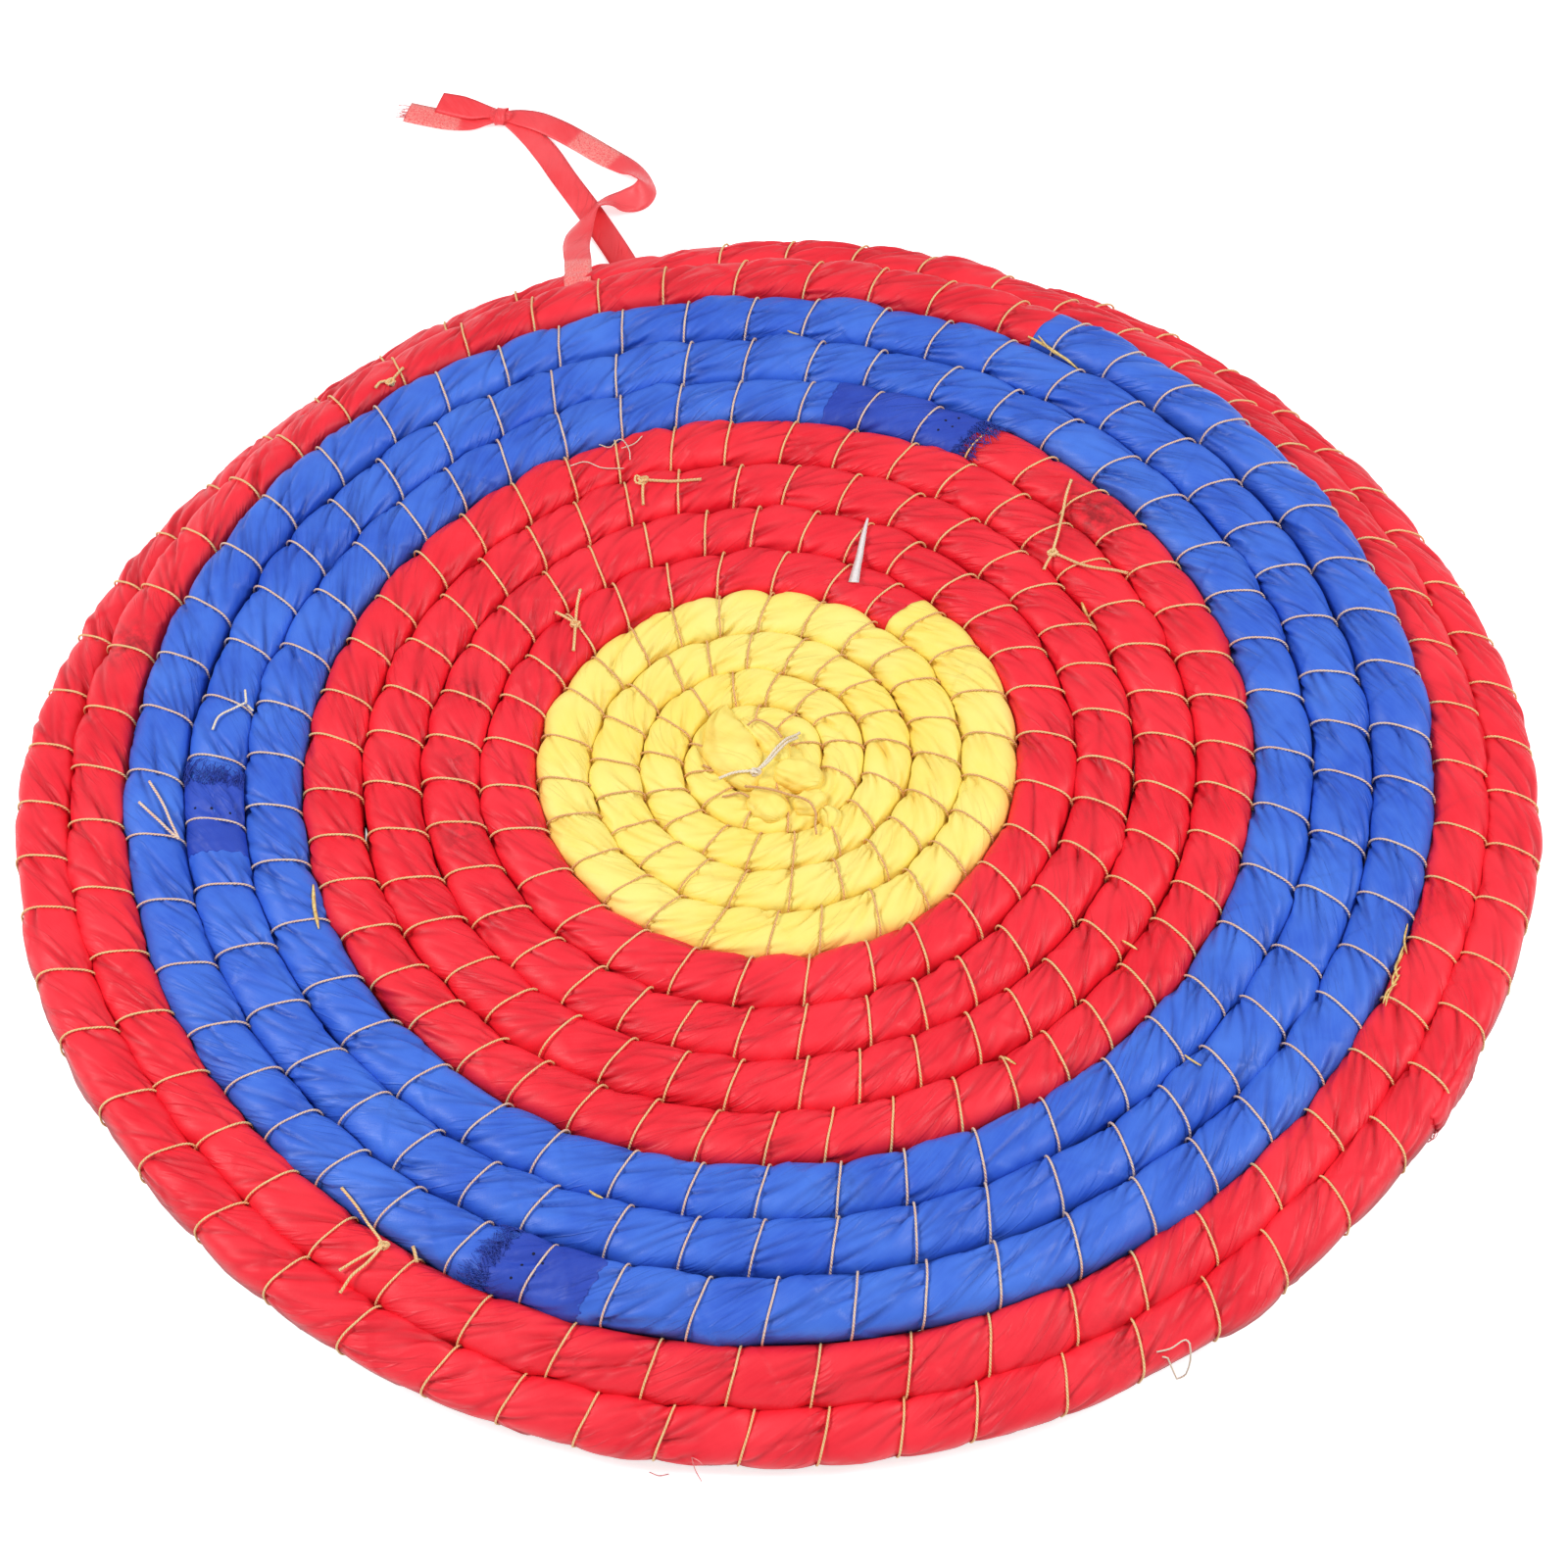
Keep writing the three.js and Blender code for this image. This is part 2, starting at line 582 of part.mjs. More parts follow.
/** The loop's knot: a flattened lump on the floor. */
function ribbonKnot() {
  const knot = new THREE.IcosahedronGeometry(1, 1);
  knot.deleteAttribute('normal');
  knot.deleteAttribute('uv');
  knot.scale(...RIBBON_KNOT.toArray());
  const through = fromShares(LONG_TAIL_SHARES[0]).sub(fromShares(LEFT_LEG_SHARES.at(-1)));
  const turned = Math.atan2(through.y, through.x);
  knot.rotateZ(turned);
  knot.translate(...fromShares(KNOT_SHARES).toArray());
  return BufferGeometryUtils.mergeVertices(knot);
}

/** The loop swings about the rim's highest edge under the ribbon. */
const hinge = onWrap(1 / WRAP_FLATS, RIBBON_CLEARANCE + RIBBON_THICKNESS + RIBBON_CLEARANCE, -RIBBON_SHIFT);
console.log('loop hinge at', hinge.toArray().map((x) => x.toFixed(2)).join(' '));
console.log('hinge axis', alongRim.clone().negate().toArray().map((x) => x.toFixed(5)).join(' '));

/** The least distance between the winding's own turns, measured on points of its outside. */
function leastGap() {
  const rings = stations.map((s) => coverRing(s.turns));
  let least = Infinity;
  for (let i = STEPS; i < rings.length; i++) {
    for (let j = 0; j <= i - STEPS / 2; j++) {
      if (stations[i].centre.distanceTo(stations[j].centre) > 2 * ROPE_PITCH) continue;
      for (const p of rings[i]) {
        for (const q of rings[j]) least = Math.min(least, p.distanceTo(q));
      }
    }
  }
  return least;
}
console.log(`least gap between turns: ${leastGap().toFixed(2)} mm`);

const materials = {
  yellow: { color: 0xffe766, roughness: 0.55, metalness: 0 },
  red: { color: 0xee3040, roughness: 0.5, metalness: 0 },
  blue: { color: 0x2f62d4, roughness: 0.45, metalness: 0 },
  straw: { color: 0xc9a866, roughness: 0.9, metalness: 0 },
  darkBlue: { color: 0x1b3fa8, roughness: 0.6, metalness: 0 },
  thread: { color: 0xe0b27a, roughness: 0.8, metalness: 0 },
  ribbon: { color: 0xff5a5f, roughness: 0.4, metalness: 0 },
};

const boss = new THREE.Group();

function addPart(name, geometry, material) {
  const mesh = new THREE.Mesh(geometry, new THREE.MeshStandardMaterial(materials[material]));
  mesh.name = name;
  boss.add(mesh);
}

addPart('straw_core', strawCore(), 'straw');
addPart('yellow_cover', coverStrip(0, YELLOW_TURNS), 'yellow');
addPart('inner_red_cover', coverStrip(YELLOW_TURNS, BLUE_START), 'red');
const blueEnds = [0, ...BLUE_JOINTS, BLUE_TURNS].map((turns) => BLUE_START + turns);
for (let i = 1; i < blueEnds.length; i++) {
  addPart(`blue_cover_${i}`, coverStrip(blueEnds[i - 1], blueEnds[i]), 'blue');
}
addPart('outer_red_cover', cutFoot(coverStrip(BLUE_END, TOTAL_TURNS)), 'red');

BLUE_OVERLAPS.forEach((turns, i) => {
  addPart(`blue_overlap_${i + 1}`, clothOverlap(BLUE_START + turns), 'darkBlue');
});
addPart('rim_tuck', rimTuck(), 'red');
KNOT_TURNS.forEach((turns, i) => addPart(`thread_knot_${i + 1}`, threadKnot(turns), 'thread'));
addPart('ribbon_wrap', ribbonWrap(), 'ribbon');
addPart('ribbon_left_leg', ribbonLeg(0, LEFT_LEG_SHARES), 'ribbon');
addPart('ribbon_right_leg', ribbonLeg(1, RIGHT_LEG_SHARES), 'ribbon');
addPart('ribbon_knot', ribbonKnot(), 'ribbon');
addPart('ribbon_long_tail', ribbonTail(LONG_TAIL_SHARES), 'ribbon');
addPart('ribbon_short_tail', ribbonTail(SHORT_TAIL_SHARES), 'ribbon');

export default boss;
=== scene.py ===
"""Dresses the coiled target boss: satin on every turn, the stitches, the loose threads and the ribbon."""

import math

import bpy
import numpy as np
from mathutils import Matrix, Vector
from mathutils.bvhtree import BVHTree


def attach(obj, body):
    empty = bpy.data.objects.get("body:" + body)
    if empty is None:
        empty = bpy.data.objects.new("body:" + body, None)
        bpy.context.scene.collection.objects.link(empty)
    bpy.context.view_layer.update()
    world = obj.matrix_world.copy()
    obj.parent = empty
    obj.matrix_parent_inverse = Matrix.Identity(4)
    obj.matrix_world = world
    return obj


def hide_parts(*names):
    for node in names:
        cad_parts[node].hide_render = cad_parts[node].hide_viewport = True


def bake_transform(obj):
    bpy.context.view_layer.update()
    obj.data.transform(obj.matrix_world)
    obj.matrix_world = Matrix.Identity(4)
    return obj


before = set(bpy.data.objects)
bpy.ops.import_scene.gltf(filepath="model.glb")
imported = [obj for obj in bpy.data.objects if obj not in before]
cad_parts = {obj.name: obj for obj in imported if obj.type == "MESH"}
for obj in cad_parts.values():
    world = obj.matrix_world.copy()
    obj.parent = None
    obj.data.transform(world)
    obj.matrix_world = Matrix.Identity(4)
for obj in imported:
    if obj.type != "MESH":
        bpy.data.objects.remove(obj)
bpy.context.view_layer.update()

# The rope's coil, from the same values as the solids, in millimetres.
TURN = 2 * math.pi
ROPE_PITCH, RIM_PITCH, TURN_GAP = 19.5, 17.7, 0.5
TIP_PITCH, TIP_RADIUS, TAPER_TURNS = 11.6, 6.1, 5.5
FOOT_DEPTH = 2.0
YELLOW_TURNS, INNER_RED_TURNS, BLUE_TURNS, OUTER_RED_TURNS = 4.75, 4.03, 3.0, 2.01
BLUE_JOINTS = (1.33, 2.52)
TUCK_TURNS, TUCK_LENGTH = 13.525, 34.0
RIM_SLOPE = 19.6
SLOPE_WAVES = ((1, 10.0, 100.0), (2, 8.6, 99.0), (3, 15.0, 26.0))
SAG_LEAD_TURNS, SAG_TURNS = 0.21, 0.98
STEPS, COVER_SIDES = 24, 8
END_TAPER, END_SHARE = 150.0, 0.42
RIBBON_WIDTH, RIBBON_THICKNESS, RIBBON_CLEARANCE, RIBBON_SHIFT = 10.0, 0.6, 0.35, 12.4
RIBBON_DIRECTION = math.radians(102.5)
PARTED_STATIONS, CLOSING_STATIONS = 1, 3

BLUE_START = YELLOW_TURNS + INNER_RED_TURNS
BLUE_END = BLUE_START + BLUE_TURNS
TOTAL_TURNS = BLUE_END + OUTER_RED_TURNS
START_ANGLE = math.radians(50) - TURN * YELLOW_TURNS
FULL_HALF = (ROPE_PITCH - TURN_GAP) / 2
MM = 0.001

# The look.
SEED = 11
RING_STEP = 0.85
TOP_SIDES, UNDER_SIDES, TOP_EDGES = 46, 9, (math.radians(-12), math.radians(192))
SQUARENESS, MIDDLE_SQUARENESS = 2.9, 3.3
STITCH_SLANT = 6.0
FIRST_STITCH_TURNS, LAP_TURNS = 0.42, 12.816
THREAD_RADIUS, THREAD_LIFT, PLY_PITCH = 0.38, 0.12, 2.4
STITCH_FROM, STITCH_TO, STITCH_POINTS, STITCH_TAUT, LAST_STITCH_GAP = 262, -82, 60, 5, 16
PINCH_REACH, PINCH_POWER = 2.6, 1.1
DEEPEST, SOFT_DEPTH = 1.5, 0.65
STRIP_LEAD, STRIP_LEAN, LAP_HEIGHT = 46, 1.2, 1.5
FOLD_LEAN = 34
START_ROUNDING, LEAST_HEIGHT = 9, 0.15
CORE_START, CORE_SHORT, CORE_INSET, CORE_RINGS, CORE_SIDES = 9, 60, 3.1, 3400, 12
LUMP_ROWS, LUMP_SIDES, LUMP_SQUARENESS = 44, 48, 2.6
LAID_STEP, LAID_REACH = 0.8, 3
WRAP_MARGIN, WRAP_FROM, WRAP_TO, WRAP_ROWS, WRAP_LIFT = 7, 52, 296, 60, 0.45
SLANT_ROWS = 9
BAND_COLUMNS, BAND_THICKNESS, BAND_CAMBER = 7, 0.35, 0.25

# Dark marks on the cloth: place seen from above, size and strength, in millimetres.
DIRT = (
    (-217.6, 57.1, 9, 0.6),
    (112.7, 100.6, 12, 0.7),
    (-104.0, 30.8, 6, 0.4),
    (-104.9, 0.2, 6, 0.4),
    (-102.6, -29.8, 7, 0.5),
    (19.2, -166.7, 7, 0.35),
    (102.0, -216.5, 9, 0.4),
)

rng = np.random.default_rng(SEED)


def smooth(x):
    x = np.clip(x, 0, 1)
    return x * x * (3 - 2 * x)


def lerp(a, b, share):
    return a + (b - a) * share


def unit(vectors):
    return vectors / np.linalg.norm(vectors, axis=-1, keepdims=True)


def run_along(points):
    """How far along their path points lie."""
    return np.concatenate([[0], np.cumsum(np.linalg.norm(np.diff(points, axis=0), axis=1))])


def smoothed(values, weights):
    """Each value averaged with its neighbours."""
    return np.convolve(np.pad(values, len(weights) // 2, mode="edge"), weights / np.sum(weights), "valid")


def highest_near(values, reach):
    """The highest value within reach places of each."""
    padded = np.pad(values, reach, mode="edge")
    return np.array([padded[k : k + 2 * reach + 1].max() for k in range(len(values))])


def sag_share(turns):
    return smooth((turns - (BLUE_END - SAG_LEAD_TURNS)) / SAG_TURNS)


def rope_pitch(turns):
    inner = lerp(TIP_PITCH, ROPE_PITCH, np.minimum(turns / TAPER_TURNS, 1))
    return lerp(inner, RIM_PITCH, sag_share(turns))


def flat_radius(turns):
    taper = np.minimum(turns, TAPER_TURNS)
    growth = (ROPE_PITCH - TIP_PITCH) * taper * taper / (2 * TAPER_TURNS)
    return TIP_RADIUS + TIP_PITCH * taper + growth + ROPE_PITCH * (turns - taper)


def slope_at(turns):
    angle = START_ANGLE + TURN * turns
    waves = sum(s * np.cos(n * (angle - math.radians(at))) for n, s, at in SLOPE_WAVES)
    return np.radians(RIM_SLOPE + waves) * sag_share(turns)


def reach_at(apothem, turned):
    half = math.pi / COVER_SIDES
    rest = np.abs(turned) % (2 * half)
    return apothem * np.cos(half - np.minimum(rest, 2 * half - rest)) / math.cos(half)


def ribbon_room(turns, angle):
    away = np.abs(angle - RIBBON_DIRECTION) % TURN
    steps = np.minimum(away, TURN - away) * STEPS / TURN
    room = RIBBON_THICKNESS + 2 * RIBBON_CLEARANCE - TURN_GAP
    return np.where(turns < TOTAL_TURNS - 1, 0, room * (1 - smooth((steps - PARTED_STATIONS) / CLOSING_STATIONS)))


def coil(steps):
    """The rope's centre line: turns, angle, half width, tilt, radius and how far it lies below the face."""
    turns = np.arange(math.ceil(TOTAL_TURNS * steps) + 1) / steps
    angle = START_ANGLE + TURN * turns
    half = (rope_pitch(turns) - TURN_GAP) / 2
    slope_in = slope_at(turns)
    slope_out = np.where(turns + 1 > TOTAL_TURNS, slope_in, slope_at(turns + 1))
    tilt = (slope_in + slope_out) / 2
    radius = flat_radius(turns)
    down = np.zeros_like(turns)
    room = ribbon_room(turns, angle)
    for i in range(steps, len(turns)):
        j = i - steps
        spacing = (
            reach_at(half[j], slope_in[i] - tilt[j])
            + reach_at(half[i], slope_in[i] - tilt[i])
            + TURN_GAP
            + room[i]
        )
        radius[i] = radius[j] + spacing * math.cos(slope_in[i])
        down[i] = down[j] + spacing * math.sin(slope_in[i])
    return turns, angle, half, tilt, radius, down


def rope_frame():
    """Tables over the turns: centre, the directions across and up, and half the width."""
    _, angle, half, tilt, radius, down = coil(STEPS)
    face = (down + reach_at(half, tilt)).max() - FOOT_DEPTH
    ends = []
    for side in (-1, 1):
        reach = radius + side * half * np.cos(tilt)
        ends.append(np.stack([reach * np.cos(angle), reach * np.sin(angle)], 1))
    ends = np.concatenate(ends)
    middle = (ends.min(0) + ends.max(0)) / 2
    turns, angle, half, tilt, radius, down = coil(STEPS * 20)
    out = np.stack([np.cos(angle), np.sin(angle), 0 * angle], 1)
    up = np.array([0.0, 0.0, 1.0])
    centre = out * radius[:, None] + up * (face - down)[:, None]
    centre[:, :2] -= middle
    across = out * np.cos(tilt)[:, None] - up * np.sin(tilt)[:, None]
    raised = out * np.sin(tilt)[:, None] + up * np.cos(tilt)[:, None]
    return turns, centre, across, raised, half, run_along(centre)


TABLE_TURNS, CENTRE, ACROSS, UP, HALF, LENGTHS = rope_frame()
ROPE_LENGTH = float(np.interp(TOTAL_TURNS, TABLE_TURNS, LENGTHS))


def turns_at(length):
    return np.interp(length, LENGTHS, TABLE_TURNS)


def length_at(turns):
    return np.interp(turns, TABLE_TURNS, LENGTHS)


def from_table(table, turns):
    return np.stack([np.interp(turns, TABLE_TURNS, table[:, k]) for k in range(3)], -1)


def rope_at(length):
    """Centre, across, up and half width at places given as lengths along the rope."""
    turns = turns_at(length)
    return (
        from_table(CENTRE, turns),
        from_table(ACROSS, turns),
        from_table(UP, turns),
        np.interp(turns, TABLE_TURNS, HALF),
    )


def end_share(length):
    """How much of its full size the rope keeps where it is bound down at its end."""
    left = np.clip((ROPE_LENGTH - length) / END_TAPER, 0, 1)
    return lerp(END_SHARE, 1, np.sqrt(left))


def on_rope(q, around, relief, bulge):
    """Points on the skin at lengths along the rope, which follow the stitches' slant, and directions round it.

    A direction is counted from the rope's outer side. Relief is the height above the plain skin, and bulge how far
    the skin may pass the rope's half width.
    """
    slant = STITCH_SLANT / 2 * np.cos(around) * rope_at(q)[3] / FULL_HALF
    length = np.clip(q - slant, 0, ROPE_LENGTH)
    centre, across, up, half = rope_at(length)
    turns = turns_at(length)
    share = end_share(length)
    start = np.sqrt(np.clip(1 - np.clip(1 - length / START_ROUNDING, 0, 1) ** 2, 0.0004, 1))
    cos, sin = np.cos(around), np.sin(around)
    power = lerp(MIDDLE_SQUARENESS, SQUARENESS, smooth((turns - 3.5) / 1.5))
    square = (np.abs(cos) ** power + np.abs(sin) ** power) ** (-1 / power)
    loose = TURN_GAP / 2 + 0.12 + 0.55 * sag_share(turns + 0.5)
    outer_loose = loose * np.clip((TOTAL_TURNS - 1 - turns) / 0.03, 0, 1)
    plain = square * share * start
    x = (np.where(cos > 0, half + outer_loose, half + loose) * plain + relief) * cos + (share - 1) * half
    y = (half * plain + relief) * sin
    x = np.clip(x, -half - loose, half + outer_loose + bulge)
    points = centre + across * x[..., None] + up * y[..., None]
    points[..., 2] = np.maximum(points[..., 2], LEAST_HEIGHT)
    return points


# Pieces.
def added(name, data):
    made = bpy.data.objects.new(name, data)
    bpy.context.scene.collection.objects.link(made)
    return made


def new_piece(name, points, faces, material, slot, body="coiled_boss", replaces=(), facts=None):
    mesh = bpy.data.meshes.new(name)
    mesh.from_pydata((np.asarray(points) * MM).tolist(), [], [list(map(int, f)) for f in faces])
    mesh.update()
    for key, values in (facts or {}).items():
        made = mesh.attributes.new(key, "FLOAT_VECTOR", "POINT")
        made.data.foreach_set("vector", np.asarray(values, float).ravel())
    mesh.polygons.foreach_set("use_smooth", [True] * len(mesh.polygons))
    mesh.materials.append(material)
    piece = added(name, mesh)
    if body:
        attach(piece, body)
    if replaces:
        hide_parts(*replaces)
    return piece


def grid_faces(rows, columns, wrapped, first=0):
    r, c = np.meshgrid(np.arange(rows - 1), np.arange(columns if wrapped else columns - 1), indexing="ij")
    d = (c + 1) % columns
    quads = np.stack([r * columns + c, r * columns + d, (r + 1) * columns + d, (r + 1) * columns + c], -1)
    return (quads.reshape(-1, 4) + first).tolist()


def ring_faces(rings, sides):
    """Faces of a body of rings, closed by a flat face at each end."""
    last = (rings - 1) * sides
    return grid_faces(rings, sides, True) + [list(range(sides))[::-1], [last + k for k in range(sides)]]


def joined(parts):
    """Several meshes as one. Each is its points, its faces and any facts about its points."""
    faces, first = [], 0
    for points, part_faces, *_ in parts:
        faces += [[first + i for i in face] for face in part_faces]
        first += len(points)
    points, *facts = [np.concatenate(kept) for kept in zip(*[(p, *f) for p, _, *f in parts])]
    return points, faces, *facts


def tube(path, radius, sides=6):
    """A tube along points: its points, faces, and where each point lies along and around it."""
    path = np.asarray(path, float)
    tangent = unit(np.gradient(path, axis=0))
    normal = np.cross(tangent[0], [0.31, 0.17, 0.93])
    normals = []
    for way in tangent:
        normal = unit(normal - way * (normal @ way))
        normals.append(normal)
    normals = np.array(normals)[:, None]
    sideways = np.cross(tangent[:, None], normals)
    turned = (TURN * np.arange(sides) / sides)[None, :, None]
    radius = np.broadcast_to(radius, len(path))[:, None, None]
    points = path[:, None] + (normals * np.cos(turned) + sideways * np.sin(turned)) * radius
    twist = np.stack(np.broadcast_arrays(run_along(path)[:, None], turned[..., 0], 0.0), -1)
    return points.reshape(-1, 3), ring_faces(len(path), sides), twist.reshape(-1, 3)


def tubes_piece(name, paths, radius, material, slot, sides=6, **more):
    radii = radius if isinstance(radius, list) else [radius] * len(paths)
    points, faces, twist = joined([tube(path, size, sides) for path, size in zip(paths, radii)])
    return new_piece(name, points, faces, material, slot, facts={"twist": twist}, **more)


def curve_through(points, count):
    """A smooth curve through points, sampled evenly."""
    points = np.asarray(points, float)
    run = run_along(points)
    slope = np.gradient(points, run, axis=0)
    at = np.linspace(0, run[-1], count)
    i = np.clip(np.searchsorted(run, at, side="right") - 1, 0, len(run) - 2)
    h = (run[i + 1] - run[i])[:, None]
    x = ((at - run[i])[:, None]) / h
    return (
        points[i] * (1 + 2 * x) * (1 - x) ** 2
        + points[i + 1] * x**2 * (3 - 2 * x)
        + slope[i] * h * x * (1 - x) ** 2
        + slope[i + 1] * h * x**2 * (x - 1)
    )


# Materials.
def new_material(name):
    """A material with one shader: the material, its node tree and the shader."""
    material = bpy.data.materials.new(name)
    material.use_nodes = True
    tree = material.node_tree
    tree.nodes.clear()
    out = tree.nodes.new("ShaderNodeOutputMaterial")
    shader = tree.nodes.new("ShaderNodeBsdfPrincipled")
    tree.links.new(shader.outputs["BSDF"], out.inputs["Surface"])
    return material, tree, shader


def feed(tree, socket, value):
    if isinstance(value, (int, float)):
        socket.default_value = value
    elif isinstance(value, tuple):
        socket.default_value = (*value, 1)
    else:
        tree.links.new(value, socket)


def math_node(tree, operation, *values, clamp=False):
    node = tree.nodes.new("ShaderNodeMath")
    node.operation = operation
    node.use_clamp = clamp
    for socket, value in zip(node.inputs, values):
        feed(tree, socket, value)
    return node.outputs[0]


def mix_colour(tree, share, a, b):
    node = tree.nodes.new("ShaderNodeMix")
    node.data_type = "RGBA"
    for k, value in ((0, share), (6, a), (7, b)):
        feed(tree, node.inputs[k], value)
    return node.outputs[2]


def srgb(r, g, b):
    def line(v):
        v /= 255
        return v / 12.92 if v <= 0.04045 else ((v + 0.055) / 1.055) ** 2.4

    return (line(r), line(g), line(b))


def attribute(tree, name):
    node = tree.nodes.new("ShaderNodeAttribute")
    node.attribute_name = name
    return node.outputs["Vector"]


def split(tree, value):
    node = tree.nodes.new("ShaderNodeSeparateXYZ")
    tree.links.new(value, node.inputs[0])
    return node.outputs


def object_place(tree):
    return tree.nodes.new("ShaderNodeTexCoord").outputs["Object"]


def noise(tree, place, scale, detail, roughness, stretch=(1, 1, 1), turned=0.0):
    mapping = tree.nodes.new("ShaderNodeMapping")
    mapping.vector_type = "TEXTURE"
    mapping.inputs["Scale"].default_value = tuple(1 / s for s in stretch)
    mapping.inputs["Rotation"].default_value = (0, 0, turned)
    tree.links.new(place, mapping.inputs["Vector"])
    node = tree.nodes.new("ShaderNodeTexNoise")
    for key, value in (("Scale", scale), ("Detail", detail), ("Roughness", roughness)):
        node.inputs[key].default_value = value
    tree.links.new(mapping.outputs[0], node.inputs["Vector"])
    return node.outputs[0]


def ramp(tree, value, low, high, to_low=0.0, to_high=1.0):
    node = tree.nodes.new("ShaderNodeMapRange")
    for key, number in zip(("From Min", "From Max", "To Min", "To Max"), (low, high, to_low, to_high)):
        node.inputs[key].default_value = number
    tree.links.new(value, node.inputs["Value"])
    return node.outputs[0]


def add_bump(tree, shader, height, strength, distance):
    bump = tree.nodes.new("ShaderNodeBump")
    bump.inputs["Strength"].default_value = strength
    bump.inputs["Distance"].default_value = distance
    tree.links.new(height, bump.inputs["Height"])
    tree.links.new(bump.outputs[0], shader.inputs["Normal"])


def satin(name, light, base, deep, grime, roughness, painted_highlight_colour=None):
    """Satin cloth: fine threads, stains, a colour that varies at random, and painted shade, in the deep colour, along
    the folds, in the grooves and in the creases; where a highlight colour is given, a painted highlight over the weave
    takes the place of the crease shade.
    """
    material, tree, shader = new_material(name)
    cloth = attribute(tree, "cloth")
    groove_painted_shade, dirt, crease_shade_and_highlight = split(tree, attribute(tree, "marks"))
    place = object_place(tree)
    lie = math.radians(FOLD_LEAN)

    def grain(detail, rough, along, across, turned=lie):
        return noise(tree, cloth, 1.0, detail, rough, (along, across, 1), turned)

    def times(a, b, clamp=False):
        return math_node(tree, "MULTIPLY", a, b, clamp=clamp)

    broad = noise(tree, place, 28.0, 4.0, 0.6)
    streaks = grain(3.0, 0.6, 0.12, 0.9)
    colour = mix_colour(tree, ramp(tree, broad, 0.34, 0.68), base, light)
    colour = mix_colour(tree, ramp(tree, streaks, 0.42, 0.72, 0, 0.35), colour, light)
    # Painted shade: the grooves between turns darken towards the deep colour.
    colour = mix_colour(tree, times(groove_painted_shade, ramp(tree, broad, 0.2, 0.7, 0.7, 1.0)), colour, deep)
    near_line = math_node(tree, "ABSOLUTE", math_node(tree, "SUBTRACT", grain(2.0, 0.45, 0.05, 0.28), 0.5))
    fold_line = math_node(tree, "MULTIPLY_ADD", near_line, -16.0, 1.0, clamp=True)
    fold_line = times(fold_line, ramp(tree, grain(1.0, 0.5, 0.045, 0.08), 0.47, 0.6))
    # Painted shade: the fold lines darken a little towards the deep colour.
    colour = mix_colour(tree, times(fold_line, 0.1), colour, deep)
    # Painted shade in the creases darkens towards the deep colour; on the ribbon the same channel gives a painted
    # highlight over the weave instead.
    if painted_highlight_colour is None:
        colour = mix_colour(tree, times(crease_shade_and_highlight, 0.5, True), colour, deep)
    else:
        weave = [ramp(tree, grain(1.0, 0.4, 0.9, 3.4, turned), 0.45, 0.6) for turned in (lie, -lie)]
        shown = times(math_node(tree, "MAXIMUM", *weave), crease_shade_and_highlight, True)
        # Painted highlight: where given, the weave pattern is lightened towards the highlight colour.
        colour = mix_colour(tree, times(shown, 0.75), colour, painted_highlight_colour)
    patchy = ramp(tree, noise(tree, place, 220.0, 5.0, 0.7), 0.38, 0.62)
    colour = mix_colour(tree, times(dirt, patchy, True), colour, grime)
    tree.links.new(colour, shader.inputs["Base Color"])
    tree.links.new(ramp(tree, streaks, 0.3, 0.7, roughness - 0.07, roughness + 0.1), shader.inputs["Roughness"])
    threads = math_node(tree, "ADD", grain(2.0, 0.5, 0.5, 3.2), grain(2.0, 0.5, 3.2, 0.5))
    height = math_node(tree, "MULTIPLY_ADD", streaks, 0.08, times(threads, 0.11))
    height = math_node(tree, "MULTIPLY_ADD", fold_line, -0.45, height)
    add_bump(tree, shader, height, 0.5, 0.0009)
    shader.inputs["Specular IOR Level"].default_value = 0.4
    return material


def twisted(name, light, dark):
    """Twisted thread: plies that run slantwise round it, with the dark colour as painted shade in the grooves between
    them and the light colour as a painted highlight on their crowns.
    """
    material, tree, shader = new_material(name)
    along, around, _ = split(tree, attribute(tree, "twist"))
    phase = math_node(tree, "MULTIPLY_ADD", along, TURN / PLY_PITCH, around)
    plies = math_node(tree, "SINE", math_node(tree, "MULTIPLY", phase, 2.0))
    spots = noise(tree, object_place(tree), 160.0, 3.0, 0.6)
    # Painted shade between the plies, blending to a painted highlight on their crowns.
    colour = mix_colour(tree, ramp(tree, plies, -1, 1, 0.15, 1.0), dark, light)
    paler = tuple(min(1, 1.15 * c) for c in light)
    colour = mix_colour(tree, ramp(tree, spots, 0.4, 0.7, 0, 0.5), colour, paler)
    tree.links.new(colour, shader.inputs["Base Color"])
    shader.inputs["Roughness"].default_value = 0.7
    add_bump(tree, shader, plies, 0.6, 0.0003)
    return material


def fibrous(name, dark, light, roughness=0.75, clear=0.0):
    """A dry or stiff stuff with a fine uneven grain; clear lets some light through."""
    material, tree, shader = new_material(name)
    fibres = noise(tree, object_place(tree), 900.0, 4.0, 0.7)
    colour = mix_colour(tree, ramp(tree, fibres, 0.35, 0.65), dark, light)
    tree.links.new(colour, shader.inputs["Base Color"])
    shader.inputs["Roughness"].default_value = roughness
    shader.inputs["Transmission Weight"].default_value = clear
    return material


